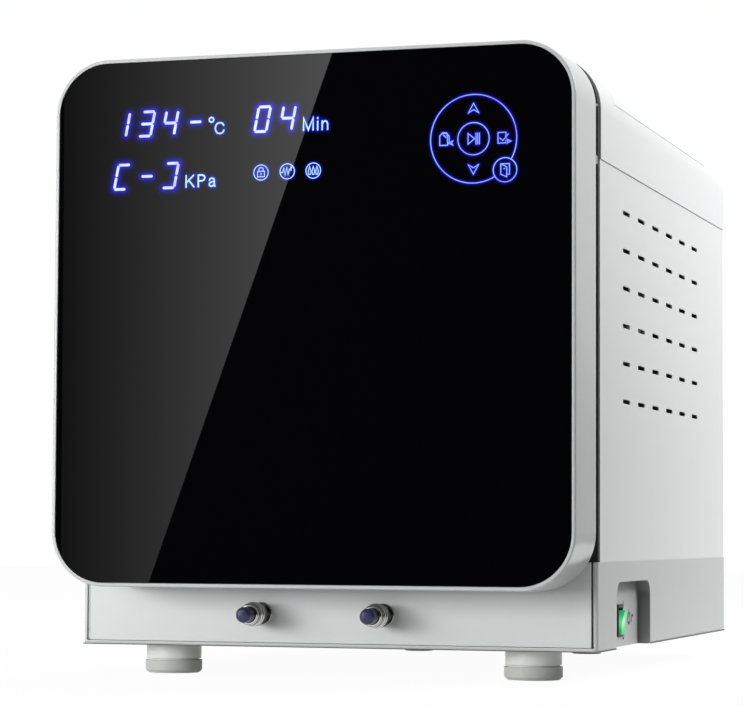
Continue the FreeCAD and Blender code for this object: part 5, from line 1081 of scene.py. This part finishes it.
class AUTOCLAVE_OT_drain_fittings(bpy.types.Operator):
    """Chrome rims, knurled bands and plugs of the drain couplings"""
    bl_idname = "autoclave.drain_fittings"
    bl_label = "Drain fittings"

    def execute(self, context):
        fittings = context.scene.autoclave_fittings
        dress_all(metal, SLEEVE_METALS)
        dress_all(paint, PLUG_PAINTS)
        for side in ("left", "right"):
            axis = middle(f"drain_sleeve_{side}")
            self.sleeve(side, axis, fittings.knurl_height)
            hole, collar = COLLAR_HOLE, fittings.collar_radius
            ring = [(hole, -0.0002), (hole, 0.0002)]
            ring += [(collar + wider, height) for wider, height in COLLAR_PROFILE]
            self.turned(f"collar_ring_{side}", axis, f"drain_body_{side}", ring, "coupling chrome",
                        "bright_steel")
            self.turned(f"plug_face_{side}", axis, "drain_plugs", PLUG_PROFILE, "plug face", "black_plastic",
                        closed=False)
            self.turned(f"coupling_washer_{side}", axis, "lower_front_panel", WASHER_PROFILE,
                        "coupling nickel", "bright_steel")
        return {"FINISHED"}

    def turned(self, name, axis, on, profile, material, slot, closed=True):
        """A turned piece on the front face of a node, about the coupling's axis."""
        mesh = bmesh.new()
        lathe(mesh, profile, facing((axis.x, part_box(on)[0][1], axis.z), FRONT), closed=closed)
        piece(name, mesh, MATERIALS[material], "cabinet", smooth=True)

    def sleeve(self, side, axis, knurl_height):
        """Bright bands and grip ridges of the sliding sleeve."""
        low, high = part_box(f"drain_sleeve_{side}")
        reach = (high[0] - low[0]) / 2
        long = high[1] - low[1]
        wide = long * BAND_WIDTH
        mesh = bmesh.new()
        for share, sunk in SLEEVE_BANDS:
            radius = reach - sunk
            lathe(mesh, [(radius - 0.0005, 0), (radius + 0.0001, 0.0002), (radius + 0.0002, wide / 2),
                         (radius + 0.0001, wide - 0.0002), (radius - 0.0005, wide)],
                  facing((axis.x, high[1] - long * share, axis.z), FRONT))
        piece(f"sleeve_rims_{side}", mesh, MATERIALS["coupling chrome"], f"sleeve_{side}",
              smooth=True)
        mesh = bmesh.new()
        self.knurl(mesh, axis, reach - KNURL_SUNK, high[1] - KNURL_START, high[1] - long * KNURL_END,
                   knurl_height)
        piece(f"sleeve_knurl_{side}", mesh, MATERIALS["blackened brass"], f"sleeve_{side}")

    def knurl(self, mesh, axis, radius, near, far, height):
        """Straight grip ridges round the sleeve."""
        wide = math.pi * radius / RIDGES * RIDGE_WIDTH
        for step in range(RIDGES):
            angle = 2 * math.pi * step / RIDGES
            out = Vector((math.cos(angle), 0, math.sin(angle)))
            across = Vector((-math.sin(angle), 0, math.cos(angle)))
            foot = Vector((axis.x, 0, axis.z)) + out * (radius - RIDGE_FOOT)
            ridge = [mesh.verts.new(foot + across * shift + out * lift + Vector((0, y, 0)))
                     for y in (near, far) for shift, lift in ((-wide, 0), (0, height), (wide, 0))]
            for corners in ((0, 1, 4, 3), (1, 2, 5, 4), (0, 2, 5, 3), (0, 1, 2), (3, 4, 5)):
                mesh.faces.new([ridge[index] for index in corners])


# The power switch. The marks are in millimetres from its middle, rearward and up, closed or open

MARKS = (
    ([(15.5, 10.5), (15.5, 15.5)], False),
    (circle_points(15.5, -13.0, 2.6, steps=24), True),
    (circle_points(38.0, 1.5, 5.0, 125, 415, 32), False),
    ([(38.0, 2.1), (38.0, 8.1)], False),
    ([(49.0, -2.0), (49.0, 3.0), (54.0, 3.0)], False),
)
MARK_STROKE = 0.0020
MARK_LIFT = 0.00005
BEZEL_PROUD = 0.0014
# Painted highlight on the rocker's lamp glow: where it sits, how it is stretched, how far it reaches and
# falls, and its colours
HIGHLIGHT_SHARE = 0.3
HIGHLIGHT_STRETCH = (0.0, 0.55, 1.0)
HIGHLIGHT_REACH = 0.0085
HIGHLIGHT_FALL = 1.6
LAMP_FAR = (0.0, 0.42, 0.12, 1)
HIGHLIGHT_NEAR = (0.42, 1.0, 0.62, 1)
LAMP_LEVEL = 0.62


class AUTOCLAVE_OT_power_switch(bpy.types.Operator):
    """Lit rocker and its marks"""
    bl_idname = "autoclave.power_switch"
    bl_label = "Power switch"

    def execute(self, context):
        green = paint("rocker green", context.scene.autoclave_finishes.rocker, roughness=0.32, mottle=0.25,
                      spread=0.05, grain=0.02, edge=0.0008, dust=0.0, Coat_Weight=0.1)
        self.light(green)
        dress(green, "switch_rocker")
        self.marks()
        return {"FINISHED"}

    def light(self, made):
        """The rocker's lamp glow, with a painted highlight that is strongest near its outer edge."""
        tree = made.node_tree
        surface = tree.nodes["Principled BSDF"]
        low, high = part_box("switch_rocker")
        at = (low[0], low[1] + (high[1] - low[1]) * HIGHLIGHT_SHARE, (low[2] + high[2]) / 2)
        away = node(tree, "VectorMath", {0: place_on_object(tree), 1: at}, operation="SUBTRACT").outputs[0]
        flat = node(tree, "VectorMath", {0: away, 1: HIGHLIGHT_STRETCH}, operation="MULTIPLY").outputs[0]
        reach = node(tree, "VectorMath", {0: flat}, operation="LENGTH").outputs["Value"]
        near = sums(tree, "POWER", scaled(tree, reach, 0.0, HIGHLIGHT_REACH, 1.0, 0.0), HIGHLIGHT_FALL)
        # painted highlight: a pale hot spot blended into the lamp's green glow
        tree.links.new(mixed(tree, near, LAMP_FAR, HIGHLIGHT_NEAR), surface.inputs["Emission Color"])
        surface.inputs["Emission Strength"].default_value = LAMP_LEVEL

    def marks(self):
        """On and off marks beside the switch, printed in the recess."""
        ink = paint("print ink", (0.03, 0.03, 0.035), roughness=0.6, mottle=0.1, grain=0.1)
        switch = middle("switch_bezel")
        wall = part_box("switch_bezel")[1][0] - BEZEL_PROUD + MARK_LIFT
        mesh = bmesh.new()
        for points, closed in MARKS:
            strip(mesh, [(switch.y + y * MM, switch.z + z * MM) for y, z in points], MARK_STROKE, 0.0,
                  closed=closed)
        turn = Matrix(((0, 1, 0, wall), (1, 0, 0, 0), (0, 0, 1, 0), (0, 0, 0, 1)))
        bmesh.ops.transform(mesh, matrix=turn, verts=mesh.verts)
        piece("switch_marks", mesh, ink, "cabinet")


def screw_head(mesh, place, way, radius):
    """A round head with a cross recess cut to its own floor."""
    matrix = facing(place, way)
    arm, half, deep = radius * 0.55, radius * 0.12, radius * 0.35
    dome = radius * 0.45
    cross = [(half, arm), (-half, arm), (-half, half), (-arm, half), (-arm, -half), (-half, -half),
             (-half, -arm), (half, -arm), (half, -half), (arm, -half), (arm, half), (half, half)]
    count = len(cross)
    steps = count * 2
    angles = [2 * math.pi * (step + 1.2) / steps + 0.9 for step in range(steps)]
    rims = []
    for reach, height in ((radius, -0.0003), (radius, dome * 0.35), (radius * 0.86, dome * 0.8),
                          (radius * 0.68, dome)):
        ring = [Vector((reach * math.cos(angle), reach * math.sin(angle), height)) for angle in angles]
        rims.append([mesh.verts.new(matrix @ point) for point in ring])
    for low, high in zip(rims, rims[1:]):
        for step in range(steps):
            following = (step + 1) % steps
            mesh.faces.new([low[step], low[following], high[following], high[step]])
    top = [mesh.verts.new(matrix @ Vector((x, y, dome))) for x, y in cross]
    floor = [mesh.verts.new(matrix @ Vector((x * 0.8, y * 0.8, dome - deep))) for x, y in cross]
    mesh.faces.new(floor)
    outer = rims[-1]
    for step in range(count):
        following = (step + 1) % count
        first, second, third = [outer[(2 * step + more) % steps] for more in range(3)]
        mesh.faces.new([top[step], top[following], floor[following], floor[step]])
        mesh.faces.new([top[step], first, second])
        mesh.faces.new([top[step], second, third, top[following]])


def bead(mesh, section, near, far):
    """A long bar along Y with the given outline of x and z."""
    ends = [[mesh.verts.new((x, y, z)) for x, z in section] for y in (near, far)]
    count = len(section)
    for step in range(count):
        following = (step + 1) % count
        mesh.faces.new([ends[0][step], ends[0][following], ends[1][following], ends[1][step]])
    mesh.faces.new(ends[0])
    mesh.faces.new(ends[1])


# Seams and keepers, in metres

RECESS_ENDS = (-0.1747, -0.0417)
BEAD_SUNK = 0.0006
BEAD_PROUD = 0.00004
BEAD_LAP = 0.00002
BEAD_ENDS = (0.0005, 0.002)
BASE_WALL = 0.0032
STRIP_SETBACKS = ((-1, 0.0009), (1, 0.0036))
STRIP_DEPTH = 0.009
# Painted shade along the foot of the base: how far below and above the foot it reaches, and how proud it
# stands
EDGE_BELOW = 0.0001
EDGE_HIGH = 0.0008
EDGE_HIGH_FRONT = 0.0005
EDGE_PROUD = 0.00012
# The keepers' heights above the bench and their lengths
KEEPERS = ((0.4160, 0.007), (0.4600, 0.002))
KEEPER_INNER, KEEPER_OUTER = 0.0014, 0.0002
KEEPER_PROUD = 0.0032


class AUTOCLAVE_OT_seams(bpy.types.Operator):
    """Beads in the seams of the side panels, and the keepers beside the door"""
    bl_idname = "autoclave.seams"
    bl_label = "Seams and keepers"

    def execute(self, context):
        size = context.scene.autoclave_fittings.bead_size
        tint = context.scene.autoclave_finishes.sheet
        sealant = paint("seam sealant", tint, roughness=0.5, mottle=0.05, grain=0.1, grain_size=600.0)
        cover_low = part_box("top_cover")[0][2]
        base_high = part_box("base_pan")[1][2]
        seams = ((cover_low - size, cover_low + BEAD_LAP), (base_high - BEAD_LAP, base_high + size))
        mesh = bmesh.new()
        for side, name in ((-1, "side_panel_left"), (1, "side_panel_right")):
            low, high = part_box(name)
            face = high[0] if side > 0 else -low[0]
            inner, outer = side * (face - BEAD_SUNK), side * (face + BEAD_PROUD)
            for bottom, top in seams:
                bead(mesh, [(inner, bottom), (outer, bottom), (outer, top), (inner, top)],
                     low[1] + BEAD_ENDS[0], high[1] - BEAD_ENDS[1])
        piece("panel_seams", mesh, sealant, "cabinet")
        self.gap_strips()
        self.paint_foot_shade()
        self.keepers()
        return {"FINISHED"}

    def gap_strips(self):
        """Strips in the two upright gaps beside the lower front panel."""
        panel_low, panel_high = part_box("lower_front_panel")
        inner = panel_high[0] + 0.0005
        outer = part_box("base_pan")[1][0] - BASE_WALL - 0.0001
        mesh = bmesh.new()
        for side, setback in STRIP_SETBACKS:
            low, high = sorted((side * inner, side * outer))
            front = panel_low[1] + setback
            box_mesh(mesh, (low, front, panel_low[2] + 0.0002),
                     (high, front + STRIP_DEPTH, panel_high[2] - 0.0004), 0.0002)
        piece("panel_side_strips", mesh, MATERIALS["lower panel powder coat"], "cabinet")

    def paint_foot_shade(self):
        """Painted shade: a dark strip along the foot of the base, where its lower edge is in shade, left
        open at the switch recess.
        """
        # painted shade: a near-black paint standing in for the shaded lower edge
        edge = paint("cut edge", (0.10, 0.096, 0.09), roughness=0.6, mottle=0.2, grain=0.2, grain_size=500.0)
        (left, front, foot), (right, rear, _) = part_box("base_pan")
        bottom, top = foot - EDGE_BELOW, foot + EDGE_HIGH
        gap_front, gap_rear = RECESS_ENDS
        proud = EDGE_PROUD
        mesh = bmesh.new()
        for x, near, far in ((left, front, rear), (right, front, gap_front), (right, gap_rear, rear)):
            box_mesh(mesh, (x - proud, near, bottom), (x + proud, far, top))
        for y, high in ((front, foot + EDGE_HIGH_FRONT), (rear, top)):
            box_mesh(mesh, (left, y - proud, bottom), (right, y + proud, high))
        piece("base_edge", mesh, edge, "cabinet")

    def keepers(self):
        """Two small bright plates on the dark frame, beside the shut door."""
        low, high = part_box("front_frame")
        front, side = low[1], high[0]
        mesh = bmesh.new()
        for height, long in KEEPERS:
            box_mesh(mesh, (side - KEEPER_INNER, front - KEEPER_PROUD, height - long / 2),
                     (side - KEEPER_OUTER, front + 0.0001, height + long / 2), 0.0003)
        piece("frame_keepers", mesh, MATERIALS["bright steel"], "cabinet")


# Screws: how far in from the node's sides, and where along it, in metres

REAR_SCREW_IN = 0.016
REAR_SCREW_HEIGHTS = (0.11, 0.26, 0.40)
REAR_SCREW_NONE = (0, 0.26)
BASE_SCREW_IN = 0.018
BASE_SCREW_PLACES = (-0.12, 0.06, 0.22)
COVER_SCREW_IN = 0.03
COVER_SCREW_EDGE = 0.012
COVER_SCREW_PLACES = (-0.06, 0.06)
COVER_SCREW_SHARE = 0.9


class AUTOCLAVE_OT_fastenings(bpy.types.Operator):
    """Screws of the rear panel, the base and the door's inner cover"""
    bl_idname = "autoclave.fastenings"
    bl_label = "Fastenings"

    def execute(self, context):
        radius = context.scene.autoclave_fittings.screw_radius
        metal("screw steel", (0.55, 0.55, 0.56), roughness=0.3, streak=0.1, depth=0.1, tarnish=0.15)
        low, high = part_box("rear_panel")
        columns = (low[0] + REAR_SCREW_IN, 0, high[0] - REAR_SCREW_IN)
        spots = [(x, high[1], z) for x in columns for z in REAR_SCREW_HEIGHTS if (x, z) != REAR_SCREW_NONE]
        self.screws("rear_screws", spots, REAR, radius, "cabinet")
        low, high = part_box("base_pan")
        columns = (low[0] + BASE_SCREW_IN, high[0] - BASE_SCREW_IN)
        spots = [(x, y, low[2]) for x in columns for y in BASE_SCREW_PLACES]
        self.screws("base_screws", spots, DOWN, radius, "cabinet")
        low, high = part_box("door_cover")
        corners = [(x, z) for x in (low[0] + COVER_SCREW_IN, high[0] - COVER_SCREW_IN)
                   for z in (low[2] + COVER_SCREW_IN, high[2] - COVER_SCREW_IN)]
        edges = [(x, z) for x in COVER_SCREW_PLACES
                 for z in (high[2] - COVER_SCREW_EDGE, low[2] + COVER_SCREW_EDGE)]
        spots = [(x, high[1], z) for x, z in corners + edges]
        self.screws("door_cover_screws", spots, REAR, radius * COVER_SCREW_SHARE, "door")
        return {"FINISHED"}

    def screws(self, name, spots, way, radius, body):
        mesh = bmesh.new()
        for spot in spots:
            screw_head(mesh, spot, way, radius)
        piece(name, mesh, MATERIALS["screw steel"], body)


# Ports in the vessel's rear head: across and up from its axis, and size. Profiles are shares of the
# port's or strainer's radius, with heights in metres

PORTS = ((-0.045, 0.062, 1.0), (0.05, 0.055, 0.8), (0.0, -0.085, 1.25))
PORT_PROFILE = ((0, 0.003), (0.55, 0.003), (0.6, 0.008), (1.0, 0.008), (1.05, 0.007), (1.05, 0.0),
                (1.5, 0.0), (1.5, -0.0002))
HEAD_THICK = 0.005
STRAINER_PROFILE = ((0, 0.012), (0.5, 0.013), (1.0, 0.010), (1.05, 0.004), (1.2, 0.002), (1.2, 0.0), (0, 0))
STRAINER_IN = 0.05
TANK_FLOOR = 0.003


class AUTOCLAVE_OT_vessel_ports(bpy.types.Operator):
    """Ports in the vessel's rear head, and the strainers of the tank"""
    bl_idname = "autoclave.vessel_ports"
    bl_label = "Ports and strainers"

    def execute(self, context):
        fittings = context.scene.autoclave_fittings
        steel = metal("port steel", (0.6, 0.6, 0.61), roughness=0.22, streak=0.1, depth=0.05)
        axis = middle("chamber_vessel")
        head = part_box("chamber_vessel")[1][1] - HEAD_THICK
        mesh = bmesh.new()
        for across, up, share in PORTS:
            radius = fittings.port_radius * share
            lathe(mesh, [(part * radius, height) for part, height in PORT_PROFILE],
                  facing((axis.x + across, head, axis.z + up), FRONT), closed=False)
        piece("vessel_ports", mesh, steel, "cabinet")
        blue = paint("strainer plastic", (0.05, 0.12, 0.30), roughness=0.4, mottle=0.1, grain=0.1)
        low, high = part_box("water_tank")
        radius = fittings.strainer_radius
        mesh = bmesh.new()
        for x in (low[0] + STRAINER_IN, high[0] - STRAINER_IN):
            lathe(mesh, [(part * radius, height) for part, height in STRAINER_PROFILE],
                  facing((x, low[1] + STRAINER_IN, low[2] + TANK_FLOOR), UP), closed=False)
        piece("tank_strainers", mesh, blue, "cabinet")
        return {"FINISHED"}


class AUTOCLAVE_PT_panel(bpy.types.Panel):
    """The steps that dress the autoclave"""
    bl_label = "Autoclave"
    bl_idname = "AUTOCLAVE_PT_panel"
    bl_space_type = "VIEW_3D"
    bl_region_type = "UI"
    bl_category = "Autoclave"

    def draw(self, context):
        for step in STEPS:
            self.layout.operator(step.bl_idname)
        for name in GROUP_NAMES:
            settings = getattr(context.scene, name)
            part = self.layout.box()
            part.label(text=settings.__doc__ or name)
            for field in settings.bl_rna.properties:
                if not field.is_readonly and field.identifier != "name":
                    part.prop(settings, field.identifier)


STEPS = (
    AUTOCLAVE_OT_stage, AUTOCLAVE_OT_cabinet_finishes, AUTOCLAVE_OT_door_finishes,
    AUTOCLAVE_OT_vessel_finishes, AUTOCLAVE_OT_figures, AUTOCLAVE_OT_touch_ring,
    AUTOCLAVE_OT_drain_fittings, AUTOCLAVE_OT_power_switch, AUTOCLAVE_OT_seams,
    AUTOCLAVE_OT_fastenings, AUTOCLAVE_OT_vessel_ports,
)
GROUPS_OF_SETTINGS = {
    "autoclave_stage": AutoclaveStage, "autoclave_finishes": AutoclaveFinishes,
    "autoclave_display": AutoclaveDisplay, "autoclave_fittings": AutoclaveFittings,
}
GROUP_NAMES = tuple(GROUPS_OF_SETTINGS)
CLASSES = (*GROUPS_OF_SETTINGS.values(), *STEPS, AUTOCLAVE_PT_panel)


def register():
    for item in CLASSES:
        bpy.utils.register_class(item)
    for name, settings in GROUPS_OF_SETTINGS.items():
        setattr(bpy.types.Scene, name, PointerProperty(type=settings))


def unregister():
    for name in reversed(GROUP_NAMES):
        delattr(bpy.types.Scene, name)
    for item in reversed(CLASSES):
        bpy.utils.unregister_class(item)


def main():
    register()
    for step in STEPS:
        area, name = step.bl_idname.split(".")
        getattr(getattr(bpy.ops, area), name)()


if __name__ == "__main__":
    main()
